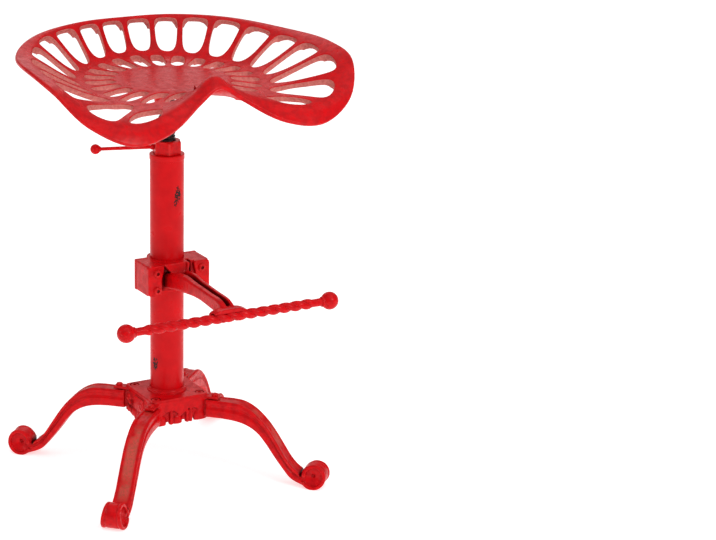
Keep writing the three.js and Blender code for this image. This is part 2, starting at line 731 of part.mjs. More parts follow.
const radialCurves = new Map();
const radialCurve = (degrees) => {
  const key = degrees.toFixed(4);
  if (!radialCurves.has(key)) {
    const station = (reach, reachShares, riseShares) => (
      planPoint(degrees, reach * ringValue(reachShares, degrees), rimRise * ringValue(riseShares, degrees)));
    radialCurves.set(key, new THREE.CatmullRomCurve3([
      planPoint(twisted(degrees), panRadius, 0),
      station(webReach, webReachShares, webRiseShares),
      station(rimReach, shoulderReachShares, shoulderRiseShares),
      station(rimReach, rimReachShares, rimRiseShares),
    ]));
  }
  return radialCurves.get(key);
};

const seatPoint = (degrees, ring) => (ring < 0
  ? planPoint(twisted(degrees), panRadius * (1 + ring), 0)
  : radialCurve(degrees).getPoint(Math.min(ring, outermostRing) / outermostRing));

const seatNormal = (degrees, ring) => {
  if (ring < 0) {
    return new THREE.Vector3(0, 0, 1);
  }
  const inward = seatPoint(degrees, Math.max(ring - slopeStep, 0));
  const outward = seatPoint(degrees, Math.min(ring + slopeStep, outermostRing));
  const before = seatPoint(degrees - 1, ring);
  const after = seatPoint(degrees + 1, ring);
  return outward.sub(inward).cross(after.sub(before)).negate().normalize();
};

// Under face: straight down at the slots, whose walls are upright, square to the sheet elsewhere
const underPoint = (degrees, ring, upright) => {
  const normal = seatNormal(degrees, ring);
  const point = seatPoint(degrees, ring);
  return upright
    ? point.setZ(point.z - seatThickness / Math.max(normal.z, steepestWallShare))
    : point.addScaledVector(normal, -seatThickness);
};

const makeSeat = () => {
  const positions = [];
  const lookup = new Map();
  const indices = [];
  const vertex = ([degrees, ring, upright = false], under) => {
    const turn = ((degrees % 360) + 360) % 360;
    const key = `${turn.toFixed(3)},${ring.toFixed(4)},${under}`;
    if (!lookup.has(key)) {
      const p = under ? underPoint(turn, ring, upright) : seatPoint(turn, ring);
      lookup.set(key, positions.length / 3);
      positions.push(p.x, p.y, p.z);
    }
    return lookup.get(key);
  };
  // Each face of the sheet is given anticlockwise from above and doubled underneath
  const face = (corners) => {
    const top = corners.map((corner) => vertex(corner, false));
    const under = corners.map((corner) => vertex(corner, true));
    for (let k = 1; k < corners.length - 1; k += 1) {
      indices.push(top[0], top[k], top[k + 1], under[0], under[k + 1], under[k]);
    }
  };
  const wall = (a, b) => {
    const [p, q, r, s] = [vertex(a, false), vertex(b, false), vertex(b, true), vertex(a, true)];
    indices.push(p, q, s, q, r, s);
  };
  const cell = (from, to, ring0, ring1, across, along, slot) => {
    const border = [
      ...Array.from({ length: across }, (_, i) => [(2 * i) / across - 1, -1]),
      ...Array.from({ length: along }, (_, j) => [1, (2 * j) / along - 1]),
      ...Array.from({ length: across }, (_, i) => [1 - (2 * i) / across, 1]),
      ...Array.from({ length: along }, (_, j) => [-1, 1 - (2 * j) / along]),
    ];
    const place = ([a, b], upright) => (
      [(from + to + a * (to - from)) / 2, (ring0 + ring1 + b * (ring1 - ring0)) / 2, upright]);
    const outer = border.map((corner) => place(corner, false));
    const hole = border.map(([a, b]) => {
      const size = (Math.abs(a) ** slotRoundness + Math.abs(b) ** slotRoundness) ** (1 / slotRoundness);
      const t = (1 + b / size) / 2;
      const width = slot.startWidthShare + (slot.endWidthShare - slot.startWidthShare) * t;
      const along01 = slot.startShare + (slot.endShare - slot.startShare) * t;
      return place([(a / size) * width, 2 * along01 - 1], true);
    });
    for (let k = 0; k < border.length; k += 1) {
      const n = (k + 1) % border.length;
      face([outer[k], outer[n], hole[n], hole[k]]);
      wall(hole[k], hole[n]);
    }
  };
  const sheet = (from, to, ring0, ring1, across, along) => {
    for (let i = 0; i < across; i += 1) {
      for (let j = 0; j < along; j += 1) {
        const a0 = from + ((to - from) * i) / across;
        const a1 = from + ((to - from) * (i + 1)) / across;
        const b0 = ring0 + ((ring1 - ring0) * j) / along;
        const b1 = ring0 + ((ring1 - ring0) * (j + 1)) / along;
        face([[a0, b0], [a1, b0], [a1, b1], [a0, b1]]);
      }
    }
  };
  const step = 360 / ringPoints;
  for (let i = 0; i < ringPoints; i += 1) {
    face([[0, -1], [(i + 1) * step, 0], [i * step, 0]]);
    wall([i * step, outermostRing], [(i + 1) * step, outermostRing]);
  }
  const across = slotPitch / step;
  const innerAside = (innerSlotCount - 1) / 2;
  for (let k = -innerAside; k <= innerAside; k += 1) {
    cell((k - 0.5) * slotPitch, (k + 0.5) * slotPitch, 0, 1, across, innerCellSteps, innerSlot);
  }
  const innerSlotted = (innerSlotCount * slotPitch) / 2;
  sheet(innerSlotted, 360 - innerSlotted, 0, 1, (360 - 2 * innerSlotted) / step, innerCellSteps);
  const outerAside = outerSlotCount / 2;
  for (let k = -outerAside; k < outerAside; k += 1) {
    const last = k === -outerAside || k === outerAside - 1;
    cell(k * slotPitch, (k + 1) * slotPitch, 1, 2, across, outerCellSteps, last ? lastOuterSlot : outerSlot);
  }
  const outerSlotted = outerAside * slotPitch;
  sheet(outerSlotted, 360 - outerSlotted, 1, 2, (360 - 2 * outerSlotted) / step, outerCellSteps);
  sheet(0, 360, 2, outermostRing, ringPoints, bandSteps);
  const shell = new THREE.BufferGeometry();
  shell.setAttribute('position', new THREE.Float32BufferAttribute(positions, 3));
  shell.setIndex(indices);
  const boss = cylinder(seatBossRadius, seatBossFoot, panTop - seatThickness / 2, tubeSides);
  const holeTop = seatBossFoot + seatBoltGrip + boltGap;
  const cut = seatBoltPlaces.map(([x, y]) => (
    cylinder(seatBoltRadius + boltGap, seatBossFoot - cutOverrun, holeTop, drilledSides, x, y)));
  return shape(shell, { add: [boss], cut });
};

const seatBoltPlaces = Array.from({ length: seatBoltCount }, (_, k) => {
  const angle = Math.PI / 4 + (2 * Math.PI * k) / seatBoltCount;
  return [seatBoltReach * Math.cos(angle), seatBoltReach * Math.sin(angle)];
});

const makeSeatFlange = () => {
  const plate = cylinder(seatFlangeRadius, seatFlangeFoot, seatBossFoot, tubeSides);
  const drill = (radius, sides, x, y) => (
    cylinder(radius, seatFlangeFoot - cutOverrun, seatBossFoot + cutOverrun, sides, x, y));
  const boltHoles = seatBoltPlaces.map(([x, y]) => drill(seatBoltRadius + boltGap, drilledSides, x, y));
  return shape(plate, { cut: [...boltHoles, drill(spigotRadius + bushGap, turnedSides, 0, 0)] });
};

const makeSeatBolt = (x, y) => {
  const headFoot = seatFlangeFoot - seatBoltHeadHeight;
  const head = cylinder(seatBoltHeadRadius, headFoot, seatFlangeFoot, hexagonSides, x, y);
  const shankTop = seatBossFoot + seatBoltGrip;
  const shank = cylinder(seatBoltRadius, seatFlangeFoot - joinDepth, shankTop, drilledSides, x, y);
  return shape(head, { add: [shank] });
};

// Assembly
addPiece('hub', makeHub(), redEnamel);
addPiece('column', makeColumn(), redEnamel);
addPiece('column_collar', makeCollar(), redEnamel);
addPiece('column_insert', makeInsert(), redEnamel);

const hubScrewTop = hubTop - hubRecessDepth;
['rear_right', 'rear_left', 'front_left', 'front_right'].forEach((name, k) => {
  const hubScrew = screw(
    legScrewRadius, hubScrewTop, legScrewLength, hubScrewHeadRadius, hubScrewHeadHeight,
    turnedSides, hubScrewReach,
  );
  const legBolt = screw(
    legScrewRadius, tabTop, legScrewLength, legBoltHeadRadius, legBoltHeadHeight, hexagonSides, legBoltReach,
  );
  addPiece(`leg_${name}`, makeLeg(), redEnamel, cornerTurns[k]);
  addPiece(`hub_screw_${name}`, hubScrew, redEnamel, cornerTurns[k]);
  addPiece(`leg_bolt_${name}`, legBolt, redEnamel, cornerTurns[k]);
});

addPiece('footrest_bracket', makeBracket(), redEnamel);
addPiece('clamp_rear', makeClampRear(), redEnamel);
clampBoltPlaces.forEach(({ name, x, z }) => {
  addPiece(`clamp_bolt_${name}`, makeClampBolt(x, z), redEnamel);
  addPiece(`clamp_nut_${name}`, makeClampNut(x, z), redEnamel);
});
addPiece('footrest_bar', makeBar(), redEnamel);
[['left', -1], ['right', 1]].forEach(([name, side]) => {
  addPiece(`bar_ball_${name}`, makeBarBall(side), redEnamel);
});
barScrewPlaces.forEach(([name, x]) => {
  addPiece(`bar_screw_${name}`, makeBarScrew(x), redEnamel);
});

addPiece('spindle', makeSpindle(), blackSteel);
addPiece('spindle_guide', makeGuide(), nylon);
addPiece('guide_washer', makeGuideWasher(), plainSteel);
addPiece('guide_screw', makeGuideScrew(), plainSteel);
addPiece('lock_nut', makeLockNut(), redEnamel);
addPiece('lever_rod', makeLeverRod(), redEnamel);
addPiece('lever_ball', makeLeverBall(), redEnamel);
addPiece('seat', makeSeat(), redEnamel);
addPiece('seat_flange', makeSeatFlange(), redEnamel);
seatBoltPlaces.forEach(([x, y], k) => {
  addPiece(`seat_bolt_${k + 1}`, makeSeatBolt(x, y), redEnamel);
});

// The origin goes under the middle of the whole stool, on the floor
const whole = new THREE.Box3().setFromObject(group);
group.position.x = -(whole.min.x + whole.max.x) / 2;
group.position.y = -(whole.min.y + whole.max.y) / 2;
group.updateMatrixWorld(true);

export default group;
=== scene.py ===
import math

import bmesh
import bpy
import numpy as np
from mathutils import Matrix, Vector


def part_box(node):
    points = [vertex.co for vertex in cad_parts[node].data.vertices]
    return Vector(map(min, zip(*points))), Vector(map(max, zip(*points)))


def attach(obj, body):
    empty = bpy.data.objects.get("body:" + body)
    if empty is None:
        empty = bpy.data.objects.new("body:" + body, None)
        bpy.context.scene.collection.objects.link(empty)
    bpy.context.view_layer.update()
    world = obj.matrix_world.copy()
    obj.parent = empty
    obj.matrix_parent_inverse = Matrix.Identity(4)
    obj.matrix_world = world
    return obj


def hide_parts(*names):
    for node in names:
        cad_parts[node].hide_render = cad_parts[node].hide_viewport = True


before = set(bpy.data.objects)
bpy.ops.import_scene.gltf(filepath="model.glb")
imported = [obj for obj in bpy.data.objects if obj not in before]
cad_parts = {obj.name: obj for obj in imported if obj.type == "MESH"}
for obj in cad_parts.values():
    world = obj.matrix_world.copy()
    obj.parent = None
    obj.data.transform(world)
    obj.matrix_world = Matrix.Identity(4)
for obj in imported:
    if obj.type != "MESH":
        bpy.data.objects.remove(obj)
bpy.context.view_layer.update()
print("stage: frame loaded")

# Sizes below are in millimetres, from the column's axis and the floor, unless a comment says metres
mm = 0.001
columnLow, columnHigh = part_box("column")
axisPlace = Vector(((columnLow.x + columnHigh.x) / 2, (columnLow.y + columnHigh.y) / 2, 0))


# Shape helpers: a part is a list of points and a list of faces
def joined(parts):
    points, faces = [], []
    for partPoints, partFaces in parts:
        start = len(points)
        points += [tuple(p) for p in partPoints]
        faces += [tuple(start + i for i in face) for face in partFaces]
    return points, faces


def placed(part, matrix):
    return [tuple(matrix @ Vector(p)) for p in part[0]], part[1]


def moved(part, x=0, y=0, z=0):
    return placed(part, Matrix.Translation((x, y, z)))


def turnedBy(part, degrees, axisName="Z"):
    return placed(part, Matrix.Rotation(math.radians(degrees), 4, axisName))


def alongX(part):
    return turnedBy(part, 90, "Y")


def alongY(part):
    return turnedBy(part, 90, "X")


def block(x0, x1, y0, y1, z0, z1):
    points = [(x, y, z) for z in (z0, z1) for y in (y0, y1) for x in (x0, x1)]
    return points, [(0, 2, 3, 1), (4, 5, 7, 6), (0, 1, 5, 4), (2, 6, 7, 3), (0, 4, 6, 2), (1, 3, 7, 5)]


# An outline in the XZ plane, thickened along Y
def plate(outline, y0, y1):
    count = len(outline)
    points = [(x, y, z) for y in (y0, y1) for x, z in outline]
    faces = [tuple(range(count)), tuple(range(2 * count - 1, count - 1, -1))]
    faces += [(i, i + count, (i + 1) % count + count, (i + 1) % count) for i in range(count)]
    return points, faces


def grid(rows, closedAround=True, closedAlong=False, caps=False):
    rowCount, count = len(rows), len(rows[0])
    points = [tuple(p) for row in rows for p in row]
    faces = []
    for i in range(rowCount if closedAlong else rowCount - 1):
        for k in range(count if closedAround else count - 1):
            a, b = i * count + k, i * count + (k + 1) % count
            c, d = ((i + 1) % rowCount) * count + (k + 1) % count, ((i + 1) % rowCount) * count + k
            faces.append((a, b, c, d))
    if caps:
        faces += [tuple(range(count - 1, -1, -1)), tuple((rowCount - 1) * count + k for k in range(count))]
    return points, faces


# An outline with each corner eased by the given radius; corners on the axis of a turned profile stay
def eased(profile, radius, steps=4):
    corners = [Vector(p) for p in profile]
    result = []
    for i, corner in enumerate(corners):
        before, after = corners[i - 1] - corner, corners[(i + 1) % len(corners)] - corner
        reach = min(radius, 0.45 * before.length, 0.45 * after.length)
        if abs(corner.x) < 1e-6 or reach < 1e-4:
            result.append(tuple(corner))
            continue
        start, end = corner + before.normalized() * reach, corner + after.normalized() * reach
        for k in range(steps + 1):
            t = k / steps
            result.append(tuple(start * (1 - t) ** 2 + corner * 2 * t * (1 - t) + end * t * t))
    return result


def turned(profile, ease=0.6, sides=72):
    outline = eased(profile, ease)
    angles = [2 * math.pi * k / sides for k in range(sides)]
    rows = [[(r * math.cos(a), r * math.sin(a), z) for a in angles] for r, z in outline]
    return grid(rows, closedAlong=True)


def rod(radius, low, high, ease=0, sides=64, bore=0):
    return turned([(bore, low), (radius, low), (radius, high), (bore, high)], ease, sides)


# Places on a circle about the origin, each at so many degrees from its top
def arc(radius, angles):
    return [(radius * math.sin(math.radians(a)), radius * math.cos(math.radians(a))) for a in angles]


# Rings stacked along Z, each round or hexagonal: ("round", radius, z) or ("hex", half across flats, z)
def stacked(rings, sides=72):
    rows = []
    for kind, size, z in rings:
        row = []
        for k in range(sides):
            angle = 2 * math.pi * k / sides
            fromFlat = (angle + math.pi / 6) % (math.pi / 3) - math.pi / 6
            r = size / math.cos(fromFlat) if kind == "hex" else size
            row.append((r * math.cos(angle), r * math.sin(angle), z))
        rows.append(row)
    return grid(rows)


def ball(x, y, z, rx, ry=None, rz=None, sides=20, bands=12):
    ry, rz = ry or rx, rz or rx
    rows = []
    for j in range(bands + 1):
        polar = math.pi * j / bands
        rows.append([(
            x + rx * math.sin(polar) * math.cos(2 * math.pi * k / sides),
            y + ry * math.sin(polar) * math.sin(2 * math.pi * k / sides),
            z - rz * math.cos(polar),
        ) for k in range(sides)])
    return grid(rows)


# Upright rib on the face at y, flat at the foot, with a rounded head
def rib(x, y, width, proud, foot, head):
    levels = [(foot, 1), (head - width / 2, 1)]
    for degrees in (25, 50, 72, 88):
        angle = math.radians(degrees)
        levels.append((head - width / 2 * (1 - math.sin(angle)), math.cos(angle)))
    rows = []
    for z, share in levels:
        rows.append([(
            x + share * width / 2 * math.cos(2 * math.pi * k / 24),
            y + share * proud * math.sin(2 * math.pi * k / 24),
            z,
        ) for k in range(24)])
    return grid(rows, caps=True)


# Smooth line through a few places, denser where they are close
def smoothLine(places, count):
    p = np.array(places, float)
    p = np.vstack([2 * p[0] - p[1], p, 2 * p[-1] - p[-2]])
    spans = len(p) - 3
    result = []
    for t in np.linspace(0, spans, count):
        i = min(int(t), spans - 1)
        w = t - i
        x0, x1, x2, x3 = p[i:i + 4]
        d0, d1, d2 = [max(np.linalg.norm(q) ** 0.5, 1e-4) for q in (x1 - x0, x2 - x1, x3 - x2)]
        t1 = ((x1 - x0) / d0 - (x2 - x0) / (d0 + d1) + (x2 - x1) / d1) * d1
        t2 = ((x2 - x1) / d1 - (x3 - x1) / (d1 + d2) + (x3 - x2) / d2) * d1
        result.append(x1 + t1 * w + (3 * (x2 - x1) - 2 * t1 - t2) * w**2 + (2 * (x1 - x2) + t1 + t2) * w**3)
    return np.array(result)


# The marks, where there are any, number the material of each face
def newMesh(name, part, marks=()):
    mesh = bpy.data.meshes.new(name)
    mesh.from_pydata([Vector(p) * mm for p in part[0]], [], part[1])
    if marks:
        mesh.polygons.foreach_set("material_index", marks)
    work = bmesh.new()
    work.from_mesh(mesh)
    bmesh.ops.remove_doubles(work, verts=work.verts, dist=2e-6)
    bmesh.ops.recalc_face_normals(work, faces=work.faces)
    work.to_mesh(mesh)
    work.free()
    return mesh


def linked(piece):
    bpy.context.scene.collection.objects.link(piece)
    return piece


# Overlapping parts melted into one casting, then bored or trimmed with the cutters
def cast(name, parts, voxel, softness, cutters=()):
    piece = linked(bpy.data.objects.new(name, newMesh(name, joined(parts))))
    skin = piece.modifiers.new("skin", "REMESH")
    skin.mode = "VOXEL"
    skin.voxel_size = voxel * mm
    soften = piece.modifiers.new("soften", "SMOOTH")
    soften.factor = 0.5
    soften.iterations = softness
    tools = []
    for cutter in cutters:
        tool = linked(bpy.data.objects.new("tool", newMesh("tool", cutter)))
        tools.append(tool)
        cut = piece.modifiers.new("cut", "BOOLEAN")
        cut.operation = "DIFFERENCE"
        cut.solver = "EXACT"
        cut.object = tool
    graph = bpy.context.evaluated_depsgraph_get()
    mesh = bpy.data.meshes.new_from_object(piece.evaluated_get(graph))
    for gone in [piece, *tools]:
        bpy.data.objects.remove(gone)
    return mesh


def addPiece(name, shape, material, body, nodes, turn=0, sharp=38):
    mesh = newMesh(name, shape) if isinstance(shape, tuple) else shape
    mesh.shade_smooth()
    mesh.set_sharp_from_angle(angle=math.radians(sharp))
    mesh.materials.append(material)
    piece = linked(bpy.data.objects.new(name, mesh))
    piece.location = axisPlace
    piece.rotation_euler.z = math.radians(turn)
    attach(piece, body)
    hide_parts(*nodes)
    return piece


# Camera turned about its own upright axis, so the stool stands at the left of the frame without lens shift
cameraLook = {
    "place": (-1448.5, -2916.7, 1339.3), "right": (0.8956, -0.4448, 0), "forward": (0.424, 0.8537, -0.3024),
    "focus": 2375.1, "aside": 191, "frameWidth": 716, "sensor": 36, "clip": (0.05, 60),
}


def makeCamera():
    c = cameraLook
    data = bpy.data.cameras.new("camera")
    camera = linked(bpy.data.objects.new("camera", data))
    forward, right = Vector(c["forward"]).normalized(), Vector(c["right"]).normalized()
    up = right.cross(forward).normalized()
    angle = math.atan(c["aside"] / c["focus"])
    aim = forward * math.cos(angle) + right * math.sin(angle)
    side = aim.cross(up)
    turn = Matrix((side, up, -aim)).transposed()
    camera.matrix_world = Matrix.Translation(Vector(c["place"]) * mm + axisPlace) @ turn.to_4x4()
    data.sensor_width = c["sensor"]
    data.lens = c["focus"] / c["frameWidth"] * c["sensor"]
    data.clip_start, data.clip_end = c["clip"]
    bpy.context.scene.camera = camera


makeCamera()
print("stage: camera made")


# Materials, with lengths in metres and noise scales per metre; the chips are in millimetres
def startGroup(name, inputs, outputs):
    tree = bpy.data.node_groups.new(name, "ShaderNodeTree")
    for label, value in inputs.items():
        socket = tree.interface.new_socket(name=label, in_out="INPUT", socket_type="NodeSocketFloat")
        socket.default_value = value
    for label in outputs:
        tree.interface.new_socket(name=label, in_out="OUTPUT", socket_type="NodeSocketFloat")
    return tree, tree.nodes.new("NodeGroupInput"), tree.nodes.new("NodeGroupOutput")


def addNode(tree, kind, links=None, **settings):
    node = tree.nodes.new(kind)
    for key, value in settings.items():
        setattr(node, key, value)
    for socket, source in (links or {}).items():
        target = node.inputs[socket]
        if isinstance(source, bpy.types.NodeSocket):
            tree.links.new(source, target)
        else:
            target.default_value = source
    return node


def remap(tree, source, low, high, toLow=0.0, toHigh=1.0):
    links = {"Value": source, "From Min": low, "From Max": high, "To Min": toLow, "To Max": toHigh}
    return addNode(tree, "ShaderNodeMapRange", links).outputs["Result"]


def times(tree, a, b):
    return addNode(tree, "ShaderNodeMath", {0: a, 1: b}, operation="MULTIPLY").outputs[0]


def noise(tree, place, scale, detail):
    return addNode(tree, "ShaderNodeTexNoise", {"Vector": place, "Scale": scale, "Detail": detail}).outputs[0]


def mixColour(tree, factor, a, b):
    node = addNode(tree, "ShaderNodeMix", data_type="RGBA")
    for index, source in ((0, factor), (6, a), (7, b)):
        if isinstance(source, bpy.types.NodeSocket):
            tree.links.new(source, node.inputs[index])
        else:
            node.inputs[index].default_value = source
    return node.outputs[2]


# Ranges of noise, shade and pointedness that the effects use
skinLook = {"grainShare": 0.35, "mottle": (0.35, 0.65), "hollow": (0.9, 0.35), "pointed": (0.52, 0.62)}


# Uneven cast or brushed-on surface: how high it stands and how its tone drifts
def makeCastSkin():
    inputs = {"Lump Scale": 120.0, "Grain Scale": 700.0}
    tree, source, result = startGroup("castSkin", inputs, ["Height", "Mottle"])
    place = tree.nodes.new("ShaderNodeTexCoord").outputs["Object"]
    lumps = noise(tree, place, source.outputs["Lump Scale"], 3.0)
    grain = noise(tree, place, source.outputs["Grain Scale"], 2.0)
    height = addNode(tree, "ShaderNodeMath", {0: lumps, 1: times(tree, grain, skinLook["grainShare"])})
    tree.links.new(height.outputs[0], result.inputs["Height"])
    tree.links.new(remap(tree, lumps, *skinLook["mottle"]), result.inputs["Mottle"])
    return tree


# Painted shade and edges: darkening in hollows from ambient occlusion, and the edge mask that carries painted
# highlights and edge wear
def makeShadeAndEdgeMasks():
    tree, source, result = startGroup("shadeAndEdgeMasks", {"Reach": 0.006, "Edge Gain": 1.0}, ["Hollow", "Edge"])
    reach = {"Distance": source.outputs["Reach"]}
    shade = addNode(tree, "ShaderNodeAmbientOcclusion", reach, samples=8, only_local=True)
    tree.links.new(remap(tree, shade.outputs["AO"], *skinLook["hollow"]), result.inputs["Hollow"])
    surface = tree.nodes.new("ShaderNodeNewGeometry")
    edge = remap(tree, surface.outputs["Pointiness"], *skinLook["pointed"])
    tree.links.new(times(tree, edge, source.outputs["Edge Gain"]), result.inputs["Edge"])
    return tree


# Where shoes have worn a leg, with painted highlight mixed in: pale patches along the middle of the crown,
# only on the faces that look up, stand in for sky reflection as well as wear
crownWearAndHighlightLook = {"rollStart": 0.188, "rollEnd": 0.198, "bandFull": 0.0055, "bandEnd": 0.009, "upward": (0.12, 0.5),
            "patchScale": 26.0, "patch": (0.46, 0.6), "fleckScale": 330.0, "fleck": (0.5, 0.58)}


def makeCrownWearAndHighlight():
    w = crownWearAndHighlightLook
    tree, _, result = startGroup("crownWearAndHighlight", {}, ["Pale", "Speckle"])
    place = tree.nodes.new("ShaderNodeTexCoord").outputs["Object"]
    which = tree.nodes.new("ShaderNodeObjectInfo").outputs["Random"]
    shifted = addNode(tree, "ShaderNodeVectorMath", {0: place, 1: which}, operation="ADD").outputs[0]
    parted = addNode(tree, "ShaderNodeSeparateXYZ", {0: place})
    aside = addNode(tree, "ShaderNodeMath", {0: parted.outputs["Y"]}, operation="ABSOLUTE").outputs[0]
    beforeRoll = remap(tree, parted.outputs["X"], w["rollEnd"], w["rollStart"])
    normal = tree.nodes.new("ShaderNodeNewGeometry").outputs["Normal"]
    upward = addNode(tree, "ShaderNodeSeparateXYZ", {0: normal}).outputs["Z"]
    band = times(tree, remap(tree, aside, w["bandEnd"], w["bandFull"]), remap(tree, upward, *w["upward"]))
    patches = noise(tree, shifted, w["patchScale"], 3.0)
    pale = times(tree, times(tree, band, beforeRoll), remap(tree, patches, *w["patch"]))
    tree.links.new(pale, result.inputs["Pale"])
    flecks = noise(tree, shifted, w["fleckScale"], 4.0)
    tree.links.new(times(tree, pale, remap(tree, flecks, *w["fleck"])), result.inputs["Speckle"])
    return tree


castSkin = makeCastSkin()
shadeAndEdgeMasks = makeShadeAndEdgeMasks()
crownWearAndHighlight = makeCrownWearAndHighlight()


def startMaterial(name):
    material = bpy.data.materials.new(name)
    material.use_nodes = True
    tree = material.node_tree
    return material, tree, tree.nodes["Principled BSDF"]


# A material whose roughness and relief follow the uneven skin
def startSkinned(name, look):
    material, tree, surface = startMaterial(name)
    skin = addNode(tree, "ShaderNodeGroup", node_tree=castSkin)
    skin.inputs["Lump Scale"].default_value = look["lumpScale"]
    skin.inputs["Grain Scale"].default_value = look["grainScale"]
    mottle = skin.outputs["Mottle"]
    tree.links.new(remap(tree, mottle, 0, 1, look["smooth"], look["rough"]), surface.inputs["Roughness"])
    relief = {"Height": skin.outputs["Height"], "Strength": look["bump"], "Distance": look["bumpDepth"]}
    bump = addNode(tree, "ShaderNodeBump", relief)
    tree.links.new(bump.outputs["Normal"], surface.inputs["Normal"])
    return material, tree, surface, mottle


# Red enamel: bright on the open faces, darkened in the hollows as painted shade, lightened along edges as
# painted highlight, rubbed brown in places, chipped to black iron
def makeEnamel(name, look):
    material, tree, surface, mottle = startSkinned(name, look)
    depth = addNode(tree, "ShaderNodeGroup", node_tree=shadeAndEdgeMasks)
    depth.inputs["Reach"].default_value = look["reach"]
    depth.inputs["Edge Gain"].default_value = look["edge"]
    place = tree.nodes.new("ShaderNodeTexCoord").outputs["Object"]
    edge = depth.outputs["Edge"]
    colour = mixColour(tree, times(tree, mottle, look["drift"]), look["bright"], look["mid"])
    # Painted highlight: pointed edges lighten towards a pale red
    colour = mixColour(tree, times(tree, edge, look["edgeHighlightAmount"]), colour, look["paintedEdgeHighlight"])
    # Painted shade: the hollows, found by ambient occlusion, darken towards the darkest red
    colour = mixColour(tree, times(tree, depth.outputs["Hollow"], look["paintedShadeAmount"]), colour, look["paintedShade"])
    rub = noise(tree, place, look["rubScale"], 5.0)
    rubMask = times(tree, remap(tree, rub, *look["rubEdge"]), look["rub"])
    colour = mixColour(tree, times(tree, rubMask, edge), colour, look["rubbed"])
    # Pale crown patches: wear together with painted highlight on the faces that look up; the brown flecks in
    # them are wear
    if "streak" in look:
        worn = addNode(tree, "ShaderNodeGroup", node_tree=crownWearAndHighlight)
        for label, tone in (("Pale", "pale"), ("Speckle", "rubbed")):
            colour = mixColour(tree, times(tree, worn.outputs[label], look["streak"]), colour, look[tone])
    chipMask = None
    squash = look["chipSquash"]
    for x, y, z, size in look.get("chips", []):
        flat = addNode(tree, "ShaderNodeVectorMath", {0: place, 1: (1, 1, squash)}, operation="MULTIPLY")
        middle = {0: flat.outputs[0], 1: (x * mm, y * mm, z * mm * squash)}
        away = addNode(tree, "ShaderNodeVectorMath", middle, operation="DISTANCE")
        near = remap(tree, away.outputs["Value"], size * mm, look["chipHeart"] * size * mm)
        flake = noise(tree, place, look["flakeScale"], 3.0)
        spot = remap(tree, times(tree, near, flake), *look["flakeEdge"])
        if chipMask is not None:
            spot = addNode(tree, "ShaderNodeMath", {0: chipMask, 1: spot}, operation="MAXIMUM").outputs[0]
        chipMask = spot
    if chipMask is not None:
        colour = mixColour(tree, chipMask, colour, look["iron"])
    tree.links.new(colour, surface.inputs["Base Color"])
    surface.inputs["Specular IOR Level"].default_value = look["sheen"]
    surface.inputs["Coat Weight"].default_value = look["coat"]
    surface.inputs["Coat Roughness"].default_value = look["coatRoughness"]
    return material


enamelLook = {
    # Besides the enamel's own tones: the darkest red is painted shade for the hollows, the pale red after it
    # is painted highlight for the edges
    "bright": (0.70, 0.003, 0.006, 1), "mid": (0.48, 0.002, 0.005, 1), "paintedShade": (0.06, 0.0004, 0.0015, 1),
    "paintedEdgeHighlight": (0.8, 0.06, 0.055, 1), "pale": (0.62, 0.15, 0.115, 1), "rubbed": (0.34, 0.09, 0.045, 1),
    "iron": (0.012, 0.010, 0.010, 1), "sheen": 0.1, "rubEdge": (0.56, 0.66), "chipHeart": 0.35,
    "flakeEdge": (0.44, 0.47),
    "lumpScale": 110.0, "grainScale": 620.0, "reach": 0.010, "edge": 1.0, "drift": 0.8, "paintedShadeAmount": 0.95,
    "edgeHighlightAmount": 0.55, "rubScale": 190.0, "rub": 0.5, "flakeScale": 420.0, "smooth": 0.26, "rough": 0.42,
    "coat": 0.06, "coatRoughness": 0.15, "bump": 0.4, "bumpDepth": 0.001, "chipSquash": 0.45,
}


# The chips sit where the camera's side of the column shows them: across, then height
def columnChip(acrossShare, height, size):
    radius = columnLook["radius"]
    across = Vector(cameraLook["right"][:2])
    toward = Vector((across.y, -across.x))
    spot = across * acrossShare * radius + toward * math.sqrt(1 - acrossShare**2) * radius
    return spot.x, spot.y, height, size


columnLook = {
    "radius": 24.15, "wall": 3.2, "foot": 100, "top": 471.5, "flangeProud": 0.75, "flangeHeight": 8,
    "hubTop": 126, "plugLength": 40, "gap": 0.3, "threadRadius": 12, "seam": 0.01,
    # collar: out from the column's wall and up from the hub
    "collar": ((5, 0), (4.4, 1.4), (2, 2.6), (1.2, 5.5)),
}
castEnamel = makeEnamel("castEnamel", enamelLook)
tubeEnamel = makeEnamel("tubeEnamel", {
    **enamelLook, "lumpScale": 45.0, "grainScale": 900.0, "bump": 0.12, "rub": 0.0, "drift": 0.45,
    "edgeHighlightAmount": 0.2,
    "chips": [columnChip(0.64, 424, 11), columnChip(0.5, 412, 6), columnChip(-0.70, 170, 10)],
})
fittingEnamel = makeEnamel("fittingEnamel", {
    **enamelLook, "lumpScale": 260.0, "bump": 0.15, "reach": 0.003, "rub": 0.3,
})
legEnamel = makeEnamel("legEnamel", {
    **enamelLook, "rub": 1.0, "rubScale": 150.0, "bump": 0.45, "streak": 0.5,
})
# The twisted bar's edges lighten more strongly: a stronger painted highlight along its strands
barEnamel = makeEnamel("barEnamel", {
    **enamelLook, "edge": 2.0, "edgeHighlightAmount": 0.8, "paintedEdgeHighlight": (0.8, 0.15, 0.12, 1),
})
# Paler, rougher enamel for the slot walls and the upper half of their rolled edges; on those edges its pale
# tone is a painted highlight line
slotWallEnamel = makeEnamel("slotWallEnamel", {
    **enamelLook,
    "bright": (0.66, 0.20, 0.17, 1), "mid": (0.5, 0.11, 0.1, 1), "paintedShade": (0.16, 0.006, 0.008, 1),
    "smooth": 0.45, "rough": 0.65, "coat": 0.02, "paintedShadeAmount": 0.35, "lumpScale": 300.0, "grainScale": 1500.0,
    "bump": 0.7,
})


# Oiled black thread, plain steel and nylon share the uneven skin
def makePlain(name, look):
    material, tree, surface, mottle = startSkinned(name, look)
    tree.links.new(mixColour(tree, mottle, look["light"], look["dark"]), surface.inputs["Base Color"])
    surface.inputs["Metallic"].default_value = look["metal"]
    return material


